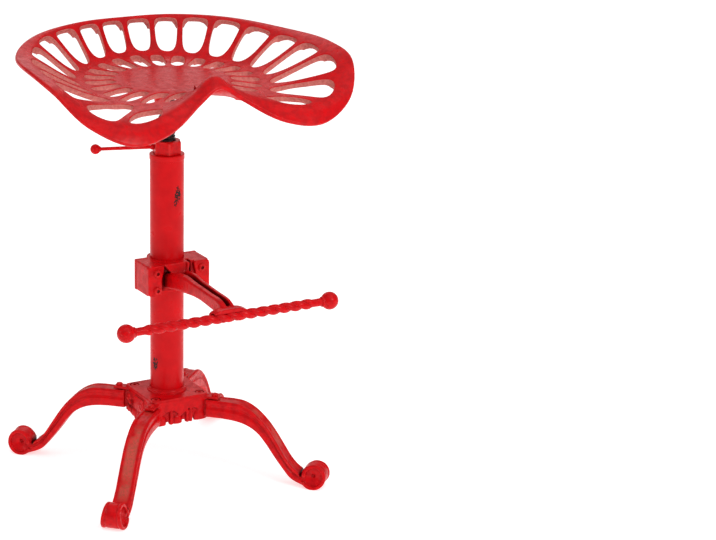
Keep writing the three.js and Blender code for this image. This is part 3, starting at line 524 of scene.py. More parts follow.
threadSteel = makePlain("threadSteel", {
    "light": (0.045, 0.04, 0.038, 1), "dark": (0.012, 0.010, 0.010, 1), "metal": 0.8, "lumpScale": 200.0,
    "grainScale": 1500.0, "smooth": 0.28, "rough": 0.5, "bump": 0.2, "bumpDepth": 0.0005,
})
plainSteel = makePlain("plainSteel", {
    "light": (0.5, 0.49, 0.47, 1), "dark": (0.3, 0.29, 0.28, 1), "metal": 0.95, "lumpScale": 300.0,
    "grainScale": 1800.0, "smooth": 0.25, "rough": 0.45, "bump": 0.15, "bumpDepth": 0.0005,
})
guideNylon = makePlain("guideNylon", {
    "light": (0.72, 0.69, 0.6, 1), "dark": (0.6, 0.57, 0.48, 1), "metal": 0.0, "lumpScale": 150.0,
    "grainScale": 1200.0, "smooth": 0.4, "rough": 0.55, "bump": 0.1, "bumpDepth": 0.0005,
})
hiddenPieces = {"spindle_guide": guideNylon, "guide_washer": plainSteel, "guide_screw": plainSteel}
for nodeName, material in hiddenPieces.items():
    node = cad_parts[nodeName]
    node.data.materials.clear()
    node.data.materials.append(material)
print("stage: materials made")


# Column with its collar and the insert's flange
def makeColumn():
    c = columnLook
    radius, bore, gap = c["radius"], c["radius"] - c["wall"], c["gap"]
    tube = rod(radius, c["foot"], c["top"], ease=0.5, sides=128, bore=bore)
    addPiece("columnTube", tube, tubeEnamel, "base", ["column"])
    low, inside = c["hubTop"], radius + gap
    collar = [(inside, low), *((radius + out, low + up) for out, up in c["collar"])]
    collar.append((inside, collar[-1][1]))
    addPiece("columnCollar", turned(collar, ease=1.1, sides=96), castEnamel, "base", ["column_collar"])
    threadBore, plug, flange = c["threadRadius"] + gap, bore - gap, radius + c["flangeProud"]
    top, plugFoot, flangeFoot = c["top"], c["top"] - c["plugLength"], c["top"] + c["seam"]
    flangeTop = top + c["flangeHeight"]
    insert = [(threadBore, plugFoot), (plug, plugFoot), (plug, flangeFoot), (flange, flangeFoot),
              (flange, flangeTop), (threadBore, flangeTop)]
    addPiece("columnInsert", turned(insert, ease=0.9, sides=96), tubeEnamel, "base", ["column_insert"])


makeColumn()


hubLook = {
    "half": 44, "top": 126, "plateFoot": 118, "lipFoot": 122.5, "lipProud": 1.6, "skirt": 6, "skirtFoot": 88,
    "skirtRise": 3, "apronProud": 2.4, "apronTop": 123, "inset": 2, "join": 1, "cornerRadius": 5,
    "cornerSteps": 6,
    "bossRadius": 32, "bossFoot": 94, "knob": 3.4, "knobProud": 0.5, "knobHeight": 111, "boreTop": 135,
    "recessReach": 49.5, "recessRadius": 7, "recessFoot": 121.5, "recessTop": 129,
    "tabReach": 80, "tabHalf": 7.5, "tabFoot": 118.5, "tabTop": 122.5,
    # lower edge of the apron: across the face and height
    "apronEdge": ((42, 107), (38, 103.5), (33, 102), (28, 103.5), (23, 107), (13, 108.5), (8, 106),
                  (4, 101.5), (0, 99), (-4, 101.5), (-9, 106), (-14, 109), (-23, 107), (-29, 103.5),
                  (-34, 102), (-39, 104), (-42, 107)),
    # each rib: across the face, width, how far it stands out, height of its head
    "ribFoot": 87.4,
    "ribs": ((-41, 5.5, 3.2, 105), (-31, 15, 3.6, 102.5), (-16, 6, 4.4, 109), (-5.5, 15, 4, 101),
             (9.8, 5.6, 4.4, 107), (15.6, 5.6, 4.4, 107.5), (31, 21, 3.4, 103.5)),
    "sideRibs": ((-38, 5.5, 3.4, 100), (-31, 6, 4.4, 98), (-24, 6, 4, 96), (-17, 5, 3.4, 97),
                 (24, 12, 3.4, 100), (36, 8, 3.4, 102)),
    # each petal under the flower: across the face, half width, how far it hangs
    "petalDepth": 3.5, "petalThick": 5.5, "petals": ((-24, 6.5, 7), (-14, 7.5, 11), (-4, 7.5, 13), (6, 7, 9)),
}
flowerLook = {
    # each bud: across the face, how far it stands out, height and its three half sizes
    "buds": ((-31, 2.2, 108, 3.4, 3.2, 3.4), (-24.5, 2, 103, 3.6, 3.4, 3.2)),
    "x": -31, "z": 108, "count": 6, "turn": 0.4, "spreadX": 6.2, "spreadZ": 6, "proud": 0.8,
    "petal": (3, 2.6, 2.8),
    "panel": (-14, 15), "panelFoot": 98, "panelTop": 118, "panelProud": 2,
    "ring": 4.2, "ringWire": 1.1, "ringX": 7, "ringZ": 106,
}


# Open flower with a sprig of buds beside it and a plain panel with a raised ring
def flowerFace(face):
    f = flowerLook
    parts = [ball(x, face - proud, z, *sizes) for x, proud, z, *sizes in f["buds"]]
    for k in range(f["count"]):
        angle = math.pi * k / (f["count"] / 2) + f["turn"]
        x, z = f["x"] + f["spreadX"] * math.cos(angle), f["z"] + f["spreadZ"] * math.sin(angle)
        parts.append(ball(x, face - f["proud"], z, *f["petal"]))
    panelFace = face - f["panelProud"]
    parts.append(block(*f["panel"], panelFace, face + hubLook["join"], f["panelFoot"], f["panelTop"]))
    wire, around = f["ringWire"], [math.pi * a / 6 for a in range(12)]
    ring = [(f["ring"] + wire * math.cos(a), wire * math.sin(a)) for a in around]
    parts.append(moved(alongY(turned(ring, ease=0, sides=32)), f["ringX"], panelFace, f["ringZ"]))
    return parts


def apronFace(face, inner):
    h = hubLook
    flat, top = h["half"] - h["inset"], h["apronTop"]
    return [plate([(-flat, top), (flat, top), *h["apronEdge"]], face - h["apronProud"], -inner)]


def makeHub():
    h = hubLook
    half, corner, join = h["half"], h["cornerRadius"], h["join"]
    plan = []
    for turn in range(0, 360, 90):
        centre = Vector((half - corner, half - corner, 0))
        centre.rotate(Matrix.Rotation(math.radians(turn), 3, "Z"))
        for k in range(h["cornerSteps"]):
            angle = math.radians(turn + k * 90 / (h["cornerSteps"] - 1))
            plan.append((centre.x + corner * math.cos(angle), centre.y + corner * math.sin(angle)))
    lip = [(x * (1 + h["lipProud"] / half), y * (1 + h["lipProud"] / half)) for x, y in plan]
    parts = [turnedBy(plate(plan, -h["top"], -h["plateFoot"]), -90, "X"),
             turnedBy(plate(lip, -h["top"], -h["lipFoot"]), -90, "X"),
             rod(h["bossRadius"], h["bossFoot"], h["plateFoot"] + join, ease=0.5, sides=48)]
    inner, flat = half - h["skirt"], half - h["inset"]
    for side in range(4):
        flowered = side == 3
        face = [block(-flat, flat, -half, -inner, h["skirtFoot"] + h["skirtRise"], h["plateFoot"] + join)]
        face += flowerFace(-half) if flowered else apronFace(-half, inner)
        for x, width, proud, head in h["sideRibs"] if flowered else h["ribs"]:
            face.append(rib(x, -half, width, proud, h["ribFoot"], head))
        for x, width, drop in h["petals"] if flowered else ():
            face.append(ball(x, h["petalDepth"] - half, h["skirtFoot"], width, h["petalThick"], drop))
        knobPlace = -half - h["knobProud"]
        face.append(ball(knobPlace, knobPlace, h["knobHeight"], h["knob"]))
        parts += [turnedBy(part, 90 * side) for part in face]
    for side in range(4):
        tab = block(half, h["tabReach"], -h["tabHalf"], h["tabHalf"], h["tabFoot"], h["tabTop"])
        parts.append(turnedBy(tab, 45 + 90 * side))
    cutters = [rod(columnLook["radius"] + columnLook["gap"], columnLook["foot"], h["boreTop"])]
    for side in range(4):
        recess = rod(h["recessRadius"], h["recessFoot"], h["recessTop"], sides=32)
        cutters.append(turnedBy(moved(recess, h["recessReach"]), 45 + 90 * side))
    mesh = cast("hubCasting", parts, voxel=0.9, softness=5, cutters=cutters)
    addPiece("hubCasting", mesh, castEnamel, "base", ["hub"], sharp=60)


makeHub()
print("stage: hub made")


legLook = {
    "rootReach": 62.6, "shoulder": 88, "crown": 118.2, "rootFoot": 92, "halfWidth": 12, "footHalf": 14,
    "tongueReach": 36, "tongueHalf": 6.5, "tongueTop": 117.7, "join": 2,
    "rootSteps": 8, "steps": 60,
    "scrollReach": 225, "scrollRadius": 19.5, "scrollHeight": 18.8,
    "rollFootHalf": 16.8, "rollTopHalf": 11.4,
    "crownReachShares": (0.442, 0.508, 0.574, 0.631, 0.684, 0.737, 0.786, 0.83, 0.87, 0.905),
    "crownHeightShares": (1, 0.986, 0.931, 0.847, 0.741, 0.602, 0.455, 0.324, 0.236, 0.185),
    "soleReachShares": (0.389, 0.48, 0.555, 0.622, 0.678, 0.733, 0.798, 0.855, 0.951),
    "soleHeightShares": (0.771, 0.755, 0.717, 0.642, 0.523, 0.377, 0.216, 0.097, 0.016),
    # half of the section, from the middle of the crown face down to the middle of the sole
    "sectionShares": ((0, 0.45), (0.5, 0.45), (0.66, 0.5), (0.88, 0.5), (1, 0.42), (1, 0.3), (0.84, 0.22),
                      (0.8, 0.12), (0.86, 0.03), (0.97, -0.04), (0.97, -0.3), (0.88, -0.46), (0.6, -0.5),
                      (0, -0.5)),
    # the scroll's dish, in radius and half thickness, and the button that its band winds up to
    "dish": ((0, 5.5), (2.2, 5.5), (3, 7.6), (8, 9), (12.4, 11), (17, 11.4)),
    "buttonRadius": 3.1, "buttonHalf": 15.4, "buttonX": -12.6, "buttonZ": 1.7,
    # the band winds up from its start, in degrees, and closes in from closeStart on
    "bandStart": -150, "bandTurn": 325, "bandSteps": 90, "closeStart": 35, "closeTurn": 140, "closeIn": 4.4,
    "bandThick": 5, "bandThins": 0.8, "bandSwell": 1.04,
    # left half of the band's face, with its bead: width share and depth
    "bandFace": ((-1, -0.9), (-0.92, 0), (-0.74, 0), (-0.62, -1.7), (-0.5, -0.6)),
}


def legSection(crown, sole, half):
    right = legLook["sectionShares"]
    around = [(w, h) for w, h in right] + [(-w, h) for w, h in reversed(right[1:-1])]
    middle, rise = (crown + sole) / 2, crown - sole
    return [(middle[0] + h * rise[0], w * half, middle[1] + h * rise[1]) for w, h in around]


# The leg's end rolls up over a dished disc and stops at a small button; the roll is widest at the floor
def makeScroll():
    s = legLook
    dish = [(r, -y) for r, y in s["dish"]] + [(r, y) for r, y in reversed(s["dish"])]
    parts = [alongY(turned(dish, ease=0.6, sides=64))]
    rows = []
    for k in range(s["bandSteps"] + 1):
        degrees = s["bandStart"] + s["bandTurn"] * k / s["bandSteps"]
        closing = min(1, max(0, (degrees - s["closeStart"]) / s["closeTurn"]))
        outer = s["scrollRadius"] - s["closeIn"] * closing**2 * (3 - 2 * closing)
        thick = s["bandThick"] - s["bandThins"] * closing
        left = [(-1, -thick), (-s["bandSwell"], -0.5 * thick), *s["bandFace"]]
        angle = math.radians(degrees)
        rows.append([((outer + d) * math.cos(angle), w * s["footHalf"], (outer + d) * math.sin(angle))
                     for w, d in left + [(-w, d) for w, d in reversed(left)]])
    parts.append(grid(rows, caps=True))
    button = rod(s["buttonRadius"], -s["buttonHalf"], s["buttonHalf"], ease=1.2, sides=32)
    parts.append(moved(alongY(button), s["buttonX"], 0, s["buttonZ"]))
    result = []
    for points, faces in parts:
        spread = []
        for x, y, z in points:
            height = z + s["scrollHeight"]
            narrowing = s["rollTopHalf"] - s["rollFootHalf"]
            half = s["rollFootHalf"] + narrowing * height / (2 * s["scrollHeight"])
            spread.append((x + s["scrollReach"], y / s["footHalf"] * half, height))
        result.append((spread, faces))
    return result


def makeLegMesh():
    s = legLook
    reach, height, steps = s["scrollReach"], s["crown"], s["steps"]
    crownPlaces = [(s["shoulder"], height)]
    crownPlaces += [(a * reach, b * height) for a, b in zip(s["crownReachShares"], s["crownHeightShares"])]
    solePlaces = [(a * reach, b * height) for a, b in zip(s["soleReachShares"], s["soleHeightShares"])]
    crown, sole = smoothLine(crownPlaces, steps), smoothLine(solePlaces, steps)
    rows = []
    for x in np.linspace(s["rootReach"], s["shoulder"] - s["join"], s["rootSteps"]):
        rows.append(legSection(np.array([x, height]), np.array([x, sole[0][1]]), s["halfWidth"]))
    for k in range(steps):
        half = s["halfWidth"] + (s["footHalf"] - s["halfWidth"]) * k / (steps - 1)
        rows.append(legSection(crown[k], sole[k], half))
    tongue = block(s["tongueReach"], s["rootReach"] + s["join"], -s["tongueHalf"], s["tongueHalf"],
                   s["rootFoot"], s["tongueTop"])
    mesh = cast("legCasting", [grid(rows, caps=True), tongue, *makeScroll()], voxel=0.85, softness=3)
    for vertex in mesh.vertices:
        vertex.co.z = max(vertex.co.z, 0)
    return mesh


legNames = ("rear_right", "rear_left", "front_left", "front_right")
legMesh = makeLegMesh()
for k, name in enumerate(legNames):
    addPiece("leg." + name, legMesh.copy(), legEnamel, "base", ["leg_" + name], turn=45 + 90 * k, sharp=60)
print("stage: legs made")


fastenerLook = {
    "screwReach": 49.5, "screwTop": 121.5, "screwRadius": 6, "screwHeight": 4.2, "screwSocket": 2.6,
    "boltReach": 73, "boltTop": 122.5, "boltHalf": 4.2, "boltHeight": 3.4, "shank": 3, "shankLength": 24,
    # a cap's eased edge: in and down from its corner; then its socket
    "capEdge": ((0, 1), (0.4, 0.35), (1.1, 0)), "socketEase": 0.3, "socketFloor": 0.35, "drillPoint": 0.5,
    # a hexagon's crown: radius share and height over the head
    "crownStart": 1.1, "crown": ((1.06, -0.45), (0.93, 0), (0.55, 0.25), (0, 0.3)),
}


# Cap with a hexagonal socket, its shank below, standing on z = 0
def socketCap(radius, height, socket, shank, length):
    f = fastenerLook
    floor = height * f["socketFloor"]
    rings = [("round", 0, -length), ("round", shank, -length), ("round", shank, 0), ("round", radius, 0)]
    rings += [("round", radius - inward, height - down) for inward, down in f["capEdge"]]
    rings += [("hex", socket + f["socketEase"], height), ("hex", socket, height - f["socketEase"]),
              ("hex", socket, floor), ("round", 0, floor - f["drillPoint"])]
    return stacked(rings)


def hexBolt(half, height, shank, length):
    f = fastenerLook
    rings = [("round", 0, -length), ("round", shank, -length), ("round", shank, 0), ("hex", half, 0),
             ("hex", half, height - f["crownStart"])]
    return stacked(rings + [("round", half * share, height + rise) for share, rise in f["crown"]])


def makeLegFasteners():
    f = fastenerLook
    for k, name in enumerate(legNames):
        cap = socketCap(f["screwRadius"], f["screwHeight"], f["screwSocket"], f["shank"], f["shankLength"])
        bolt = hexBolt(f["boltHalf"], f["boltHeight"], f["shank"], f["shankLength"])
        addPiece("hubScrew." + name, moved(cap, f["screwReach"], 0, f["screwTop"]), fittingEnamel, "base",
                 ["hub_screw_" + name], turn=45 + 90 * k)
        addPiece("legBolt." + name, moved(bolt, f["boltReach"], 0, f["boltTop"]), fittingEnamel, "base",
                 ["leg_bolt_" + name], turn=45 + 90 * k)


makeLegFasteners()
print("stage: leg fasteners made")


clampLook = {
    "half": 48.3, "front": -39.6, "split": 1, "top": 327.5, "foot": 283, "splitGap": 0.6, "flange": 6,
    "band": 5, "bedPast": 2, "earWidth": 26, "earFootWidth": 16, "earStep": 5.5, "corner": 6, "join": 1,
    "ringWall": 6.4, "blockLeft": 24, "blockRight": 20, "blockCorner": 2.2,
    # sloping ledge between the ears: the upper and lower corners of its face, then the lug at its right end
    "ledge": ((-24, -37, 327.5), (14, -37, 327.5), (12, -41.5, 309), (-9, -41.5, 311)), "ledgeDepth": 12,
    "lug": ((12, 327.5), (16, 327.5), (14, 308.5), (9.5, 308.5)), "lugProud": 6,
    "boltReach": 35, "boltHeights": {"low": 291.5, "high": 317}, "headRadius": 5, "headHeight": 4,
    "headSocket": 2.3, "shank": 3, "shankPast": 7, "nutHalf": 5.2, "nutHeight": 5, "nutBore": 3.3,
    "nutEdge": 0.8, "nutCrown": 0.1,
    "armHalf": 10, "armRoot": 27, "armFlare": 0.8, "armCrown": 317, "armDepth": 22, "armDrop": 6,
    "crownReachShares": (0.347, 0.5, 0.72, 0.9), "crownDropShares": (-0.17, 0.17, 0.5, 0.8),
    "footReachShares": (0.8, 0.6, 0.42), "footRiseShares": (0, 0.5, 0.17),
    # the arm's section, grooved on its crown: across and up
    "armSection": ((-1, 0.9), (-0.86, 1.03), (-0.2, 1.03), (-0.02, 0.52), (0.36, 0.52), (0.5, 1.03),
                   (0.9, 1.03), (1, 0.92), (1, 0.12), (0.86, 0), (-0.86, 0), (-1, 0.12)),
    "armSteps": 40, "barReach": 194.2, "barHeight": 294.2, "barSide": 12.4, "barBore": 7.6,
    "saddleHalf": 28, "saddleCrown": 15, "saddleFront": 3.5, "saddleWall": 5, "saddleWrap": 3,
    "saddleRise": 0.8, "saddleCorner": 7, "endRise": 0.5,
    "armEnd": 4, "lipRise": 4.5, "lipFront": 3, "wide": 90, "past": 25, "below": 30, "over": 9,
}


def columnBed(low, high):
    past = clampLook["bedPast"]
    return rod(columnLook["radius"] + columnLook["gap"], low - past, high + past)


# The arm between its crown line and its foot line, wider at its root
def armParts():
    c = clampLook
    start, reach = c["armRoot"], c["barReach"]
    saddleTop = c["barHeight"] + c["barSide"] / 2 + c["saddleWall"]
    crown = [(start, c["armCrown"] - c["armDrop"])]
    for share, drop in zip(c["crownReachShares"], c["crownDropShares"]):
        crown.append((share * reach, c["armCrown"] - drop * c["armDrop"]))
    crown.append((reach - c["armEnd"], saddleTop + c["saddleRise"]))
    base = c["armCrown"] - c["armDepth"]
    foot = [(start, base - c["armDrop"])]
    for share, rise in reversed(list(zip(c["footReachShares"], c["footRiseShares"]))):
        foot.append((share * reach, base + rise * c["armDrop"]))
    foot.append((reach - c["barSide"], c["barHeight"] - c["join"]))
    rows = []
    steps = c["armSteps"]
    for k, (top, low) in enumerate(zip(smoothLine(crown, steps), smoothLine(foot, steps))):
        half = c["armHalf"] * (1 + c["armFlare"] * (1 - k / steps) ** 4)
        rows.append([(w * half, -(low[0] + h * (top[0] - low[0])), low[1] + h * (top[1] - low[1]))
                     for w, h in c["armSection"]])
    return [grid(rows, caps=True)]


def makeBracket():
    c = clampLook
    half, top, foot, join, wide = c["half"], c["top"], c["foot"], c["join"], c["wide"]
    face = c["front"] + c["earStep"]
    inner, footInner = half - c["earWidth"], half - c["earFootWidth"]
    parts = [rod(columnLook["radius"] + c["ringWall"], foot, top, ease=1.5)]
    for edge, outside in ((-c["blockLeft"], -half), (c["blockRight"], half)):
        outline = [(edge, top), (outside, top), (outside, foot), (edge, foot)]
        parts.append(plate(eased(outline, c["blockCorner"]), face, c["split"]))
    ear = eased([(inner, top), (half, top), (half, foot), (footInner, foot)], c["corner"])
    for side in (-1, 1):
        parts.append(plate([(side * x, z) for x, z in ear], c["front"], face + join))
    slope = plate([(x, z) for x, _, z in c["ledge"]], 0, face + c["ledgeDepth"])
    parts.append((list(c["ledge"]) + slope[0][4:], slope[1]))
    parts.append(plate(c["lug"], face - c["lugProud"] - join, face + c["ledgeDepth"]))
    barTop, barY = c["barHeight"] + c["barSide"] / 2, -c["barReach"]
    saddleTop, saddleFoot = barTop + c["saddleWall"] + c["saddleRise"], c["barHeight"] - c["saddleWrap"]
    long, crown, shoulder = c["saddleHalf"], c["saddleCrown"], barTop + c["endRise"]
    hump = [(-long, saddleFoot), (long, saddleFoot), (long, shoulder), (crown, saddleTop),
            (-crown, saddleTop), (-long, shoulder)]
    saddleBack = barY + c["barSide"] / 2 + c["saddleWall"]
    parts += [plate(eased(hump, c["saddleCorner"]), barY - c["saddleFront"], saddleBack), *armParts()]
    bore, middle, front = c["barBore"], c["barHeight"], barY - c["past"]
    cutters = [
        columnBed(foot, top),
        block(-wide, wide, c["split"], wide, foot - c["over"], top + c["over"]),
        moved(alongX(rod(bore, -wide, wide, sides=48)), 0, barY, middle),
        block(-wide, wide, front, barY + bore, middle - c["below"], middle),
        block(-wide, wide, front, barY - c["lipFront"], middle - join, middle + c["lipRise"]),
    ]
    mesh = cast("bracketCasting", parts, voxel=0.85, softness=4, cutters=cutters)
    addPiece("bracketCasting", mesh, castEnamel, "base", ["footrest_bracket"], sharp=60)


def makeClampRear():
    c = clampLook
    start, foot, top, wide = c["split"] + c["splitGap"], c["foot"], c["top"], c["wide"]
    flange = block(-c["half"], c["half"], start, start + c["flange"], foot, top)
    band = rod(columnLook["radius"] + c["band"], foot, top, ease=0.5)
    front = block(-wide, wide, -wide, start, foot - c["over"], top + c["over"])
    mesh = cast("clampRear", [flange, band], voxel=0.85, softness=3, cutters=[columnBed(foot, top), front])
    addPiece("clampRear", mesh, castEnamel, "base", ["clamp_rear"], sharp=60)


def makeClampBolts():
    c = clampLook
    back = c["split"] + c["splitGap"] + c["flange"]
    length = back + c["shankPast"] - c["front"]
    bore, half, height = c["nutBore"], c["nutHalf"], c["nutHeight"]
    cap = alongY(socketCap(c["headRadius"], c["headHeight"], c["headSocket"], c["shank"], length))
    nut = stacked([("round", bore, 0), ("hex", half, 0), ("hex", half, height - c["nutEdge"]),
                   ("round", half - c["nutCrown"], height), ("round", bore, height), ("round", bore, 0)])
    nut = turnedBy(nut, -90, "X")
    for sideName, side in (("left", -1), ("right", 1)):
        x = side * c["boltReach"]
        for level, z in c["boltHeights"].items():
            place = f"{sideName}.{level}"
            node = f"{sideName}_{level}"
            addPiece("clampBolt." + place, moved(cap, x, c["front"], z), fittingEnamel, "base",
                     ["clamp_bolt_" + node])
            addPiece("clampNut." + place, moved(nut, x, back, z), fittingEnamel, "base",
                     ["clamp_nut_" + node])


makeBracket()
makeClampRear()
makeClampBolts()
print("stage: footrest clamp made")


barLook = {
    "half": 157, "ballRadius": 12.7, "neckLength": 16, "neckRadius": 5.6, "pitch": 35, "starts": 2,
    "core": 4.7, "strand": 2.7, "strandPower": 0.8,
    "fadeLength": 7, "fadeStart": 0.4, "sections": 420, "sides": 56,
    # each ball's foot: radius and distance behind its middle
    "ballFoot": ((7.4, 11.6), (7.2, 12.9), (6.2, 13.6), (5.9, 13.6), (5.9, 11), (0, 11)), "ballEase": 0.3,
    # screws under the saddle: radius, height, socket, shank and length
    "screw": (4.5, 2.7, 1.9, 2.5, 9), "screwReach": 11, "screwDrop": 3.5,
}


# Twisted bar of two rounded strands that run out into plain necks
def makeFootrestBar():
    b = barLook
    radius, y, z = b["ballRadius"], -clampLook["barReach"], clampLook["barHeight"]
    neckEnd = b["half"] - radius
    twistEnd = neckEnd - b["neckLength"]
    rows = []
    for x in np.linspace(-neckEnd, neckEnd, b["sections"]):
        twist = 2 * math.pi * x / b["pitch"]
        fade = min(1, max(0, (twistEnd - abs(x)) / b["fadeLength"] + b["fadeStart"]))
        row = []
        for k in range(b["sides"]):
            angle = 2 * math.pi * k / b["sides"]
            lobe = abs(math.sin(b["starts"] / 2 * (angle - twist))) ** b["strandPower"]
            r = b["neckRadius"] + fade * (b["core"] + b["strand"] * lobe - b["neckRadius"])
            row.append((x, r * math.cos(angle), r * math.sin(angle)))
        rows.append(row)
    bar = moved(grid(rows, caps=True), 0, y, z)
    addPiece("footrestBar", bar, barEnamel, "base", ["footrest_bar"], sharp=50)
    profile = [(0, radius), *arc(radius, range(6, 148, 6)), *((r, -behind) for r, behind in b["ballFoot"])]
    knob = turned(profile, b["ballEase"], 64)
    screw = turnedBy(socketCap(*b["screw"]), 180, "X")
    for name, side in (("left", -1), ("right", 1)):
        ballPart = moved(turnedBy(knob, 90 * side, "Y"), side * b["half"], y, z)
        addPiece("barBall." + name, ballPart, fittingEnamel, "base", ["bar_ball_" + name])
        screwPart = moved(screw, side * b["screwReach"], y, z - b["screwDrop"])
        addPiece("barScrew." + name, screwPart, fittingEnamel, "base", ["bar_screw_" + name])


makeFootrestBar()
print("stage: footrest bar made")


spindleLook = {
    "radius": 12, "foot": 272, "top": 566.5, "pitch": 5, "depth": 1.5, "sides": 64, "step": 0.5, "play": 0.05,
    "flankSlope": 2.6, "flankStart": 0.15, "plainLength": 9, "plainFade": 1.5,
    # plain ends: radius, foot and top
    "journal": (8, 254.6, 273), "spigot": (9, 565, 574.5),
}


# Right-hand thread that fades out below the seat, with plain ends
def makeSpindle():
    s = spindleLook
    rows = []
    steps = int((s["top"] - s["foot"]) / s["step"])
    for i in range(steps + 1):
        z = s["foot"] + i * (s["top"] - s["foot"]) / steps
        plain = min(1, max(0, (z - (s["top"] - s["plainLength"])) / s["plainFade"]))
        row = []
        for k in range(s["sides"]):
            turn = k / s["sides"]
            phase = (z / s["pitch"] - turn) % 1
            flank = min(1, max(0, s["flankSlope"] * abs(phase - 0.5) - s["flankStart"]))
            r = s["radius"] - s["depth"] * (1 - flank) * (1 - plain) - s["play"]
            row.append((r * math.cos(2 * math.pi * turn), r * math.sin(2 * math.pi * turn), z))
        rows.append(row)
    journal, spigot = rod(*s["journal"], ease=0.3, sides=48), rod(*s["spigot"], ease=0.4, sides=48)
    shape = joined([grid(rows, caps=True), journal, spigot])
    addPiece("spindleThread", shape, threadSteel, "seat_screw", ["spindle"], sharp=50)


lockLook = {
    "half": 18.25, "foot": 479.8, "height": 19, "bore": 12.3, "boreEase": 0.8, "angle": 163.8,
    # the nut's foot: in from its flats and up; its crown: share of the half width and down from the top
    "footEdge": ((0.5, 0), (0.1, 0.3), (0, 0.8)), "flatEnd": 1.9, "crown": ((1.02, 0.25), (0.97, 0)),
    "stemGap": 0.3, "stemSunk": 1, "stemCollar": 4.2, "stemCollarEnd": 3.2, "stemNeck": 2.7, "stemNeckEnd": 5,
    "stemRadius": 2.5, "reach": 101.4, "ballRadius": 7.2,
    # the ball's foot: radius and distance before its middle
    "ballFoot": ((0, 6.6), (2.8, 6.6), (2.8, 7.4), (3.6, 7.4)),
}


def makeLock():
    k = lockLook
    low, high, half, bore, ease = k["foot"], k["foot"] + k["height"], k["half"], k["bore"], k["boreEase"]
    rings = [("round", bore, low)]
    rings += [("hex", half - inward, low + up) for inward, up in k["footEdge"]]
    rings.append(("hex", half, high - k["flatEnd"]))
    rings += [("round", half * share, high - down) for share, down in k["crown"]]
    rings += [("round", bore + ease, high), ("round", bore, high - ease), ("round", bore, low)]
    addPiece("lockNut", turnedBy(stacked(rings, 96), k["angle"]), fittingEnamel, "lock", ["lock_nut"])
    middle, radius = (low + high) / 2, k["ballRadius"]
    start, end = half + k["stemGap"], k["reach"] - radius + k["stemSunk"]
    stem = [(0, start), (k["stemCollar"], start), (k["stemCollar"], start + k["stemCollarEnd"]),
            (k["stemNeck"], start + k["stemNeckEnd"]), (k["stemRadius"], end), (0, end)]
    stemPart = moved(alongX(turned(stem, 0.7, 32)), 0, 0, middle)
    addPiece("leverRod", turnedBy(stemPart, k["angle"]), fittingEnamel, "lock", ["lever_rod"])
    knob = [*((r, -before) for r, before in k["ballFoot"]), *arc(radius, range(146, 0, -6)), (0, radius)]
    knobPart = moved(alongX(turned(knob, 0.25, 48)), k["reach"], 0, middle)
    addPiece("leverBall", turnedBy(knobPart, k["angle"]), fittingEnamel, "lock", ["lever_ball"])


makeSpindle()
makeLock()
print("stage: spindle and lock made")


seatLook = {
    "back": -20, "panTop": 591, "panRadius": 74, "panTwist": 18, "thickness": 6.5, "edge": 2.3,
    "rimEdge": 2.6, "slotPitch": 15, "outerSlots": 20, "innerSlots": 21, "roundness": 2.6,
    "endRoundness": 4.2, "steepest": 0.42, "lipDrop": 1.6, "endDrop": 0.4,
    # slots: start and end along their cell, then their widths there as shares of it
    "outer": (0.06, 0.95, 0.76, 0.82), "nextOuter": (0.06, 0.84, 0.78, 0.8),
    "lastOuter": (0.3, 0.8, 0.78, 0.8), "inner": (0.14, 0.86, 0.84, 0.55),
    "rimInside": 2.9, "rimReach": 230, "rimRise": 60, "webReach": 131,
    "across": 8, "outerAlong": 18, "innerAlong": 10,
    "angles": (0, 25, 50, 75, 100, 115, 128, 140, 152, 166, 180),
    "rimReachShares": (0.724, 0.743, 0.852, 0.948, 1.02, 1.087, 1.085, 0.98, 0.825, 0.665, 0.626),
    "rimRiseShares": (0.95, 0.965, 0.87, 0.73, 0.68, 0.47, -0.22, -0.665, -0.53, -0.01, 0.317),
    "shoulderReachShares": (0.7, 0.712, 0.806, 0.868, 0.933, 1, 1.022, 0.912, 0.72, 0.565, 0.535),
    "shoulderRiseShares": (0.905, 0.91, 0.84, 0.667, 0.583, 0.4, -0.1, -0.333, -0.15, 0.167, 0.5),
    "webReachShares": (1, 1, 1, 1, 1, 1, 1, 0.97, 0.91, 0.84, 0.8),
    "webRiseShares": (0.19, 0.15, 0.085, 0.025, -0.04, -0.1, -0.125, -0.125, -0.08, 0.1, 0.35),
    "twistShares": (0, 0, 0, 0, 0.1, 0.35, 0.55, 0.8, 0.95, 0.6, 0),
    # boss: radius, foot and top; then the flange and its bolts' half width, height, shank and length
    "boss": (46, 574.5, 586), "flange": (42, 566.5, 574.4), "flangeBore": 9.3,
    "bolt": (6.5, 5, 4, 18), "boltReach": 33, "boltHeight": 566.5,
}


# Value at a plan angle between the stations, eased through them
def stationValue(shares, degrees):
    angles = seatLook["angles"]
    a = abs((degrees + 540) % 360 - 180)
    i = min(max(int(np.searchsorted(angles, a, side="right")) - 1, 0), len(angles) - 2)

    def slope(k):
        inside = 0 < k < len(angles) - 1
        return (shares[k + 1] - shares[k - 1]) / (angles[k + 1] - angles[k - 1]) if inside else 0

    span = angles[i + 1] - angles[i]
    t = (a - angles[i]) / span
    return ((2 * t**3 - 3 * t**2 + 1) * shares[i] + (t**3 - 2 * t**2 + t) * span * slope(i)
            + (3 * t**2 - 2 * t**3) * shares[i + 1] + (t**3 - t**2) * span * slope(i + 1))


def planPoint(degrees, reach, rise):
    angle = math.radians(degrees)
    s = seatLook
    return np.array([reach * math.sin(angle), s["back"] + reach * math.cos(angle), s["panTop"] + rise])


# The upper face as a fine net: a row for each plan angle, from the pan's edge (0) out to the rim (3)
netStep, netRings = 0.5, 150
# Rows of points across a slot's face and round each of its two rolled edges
faceRows, rollRows = 5, 4


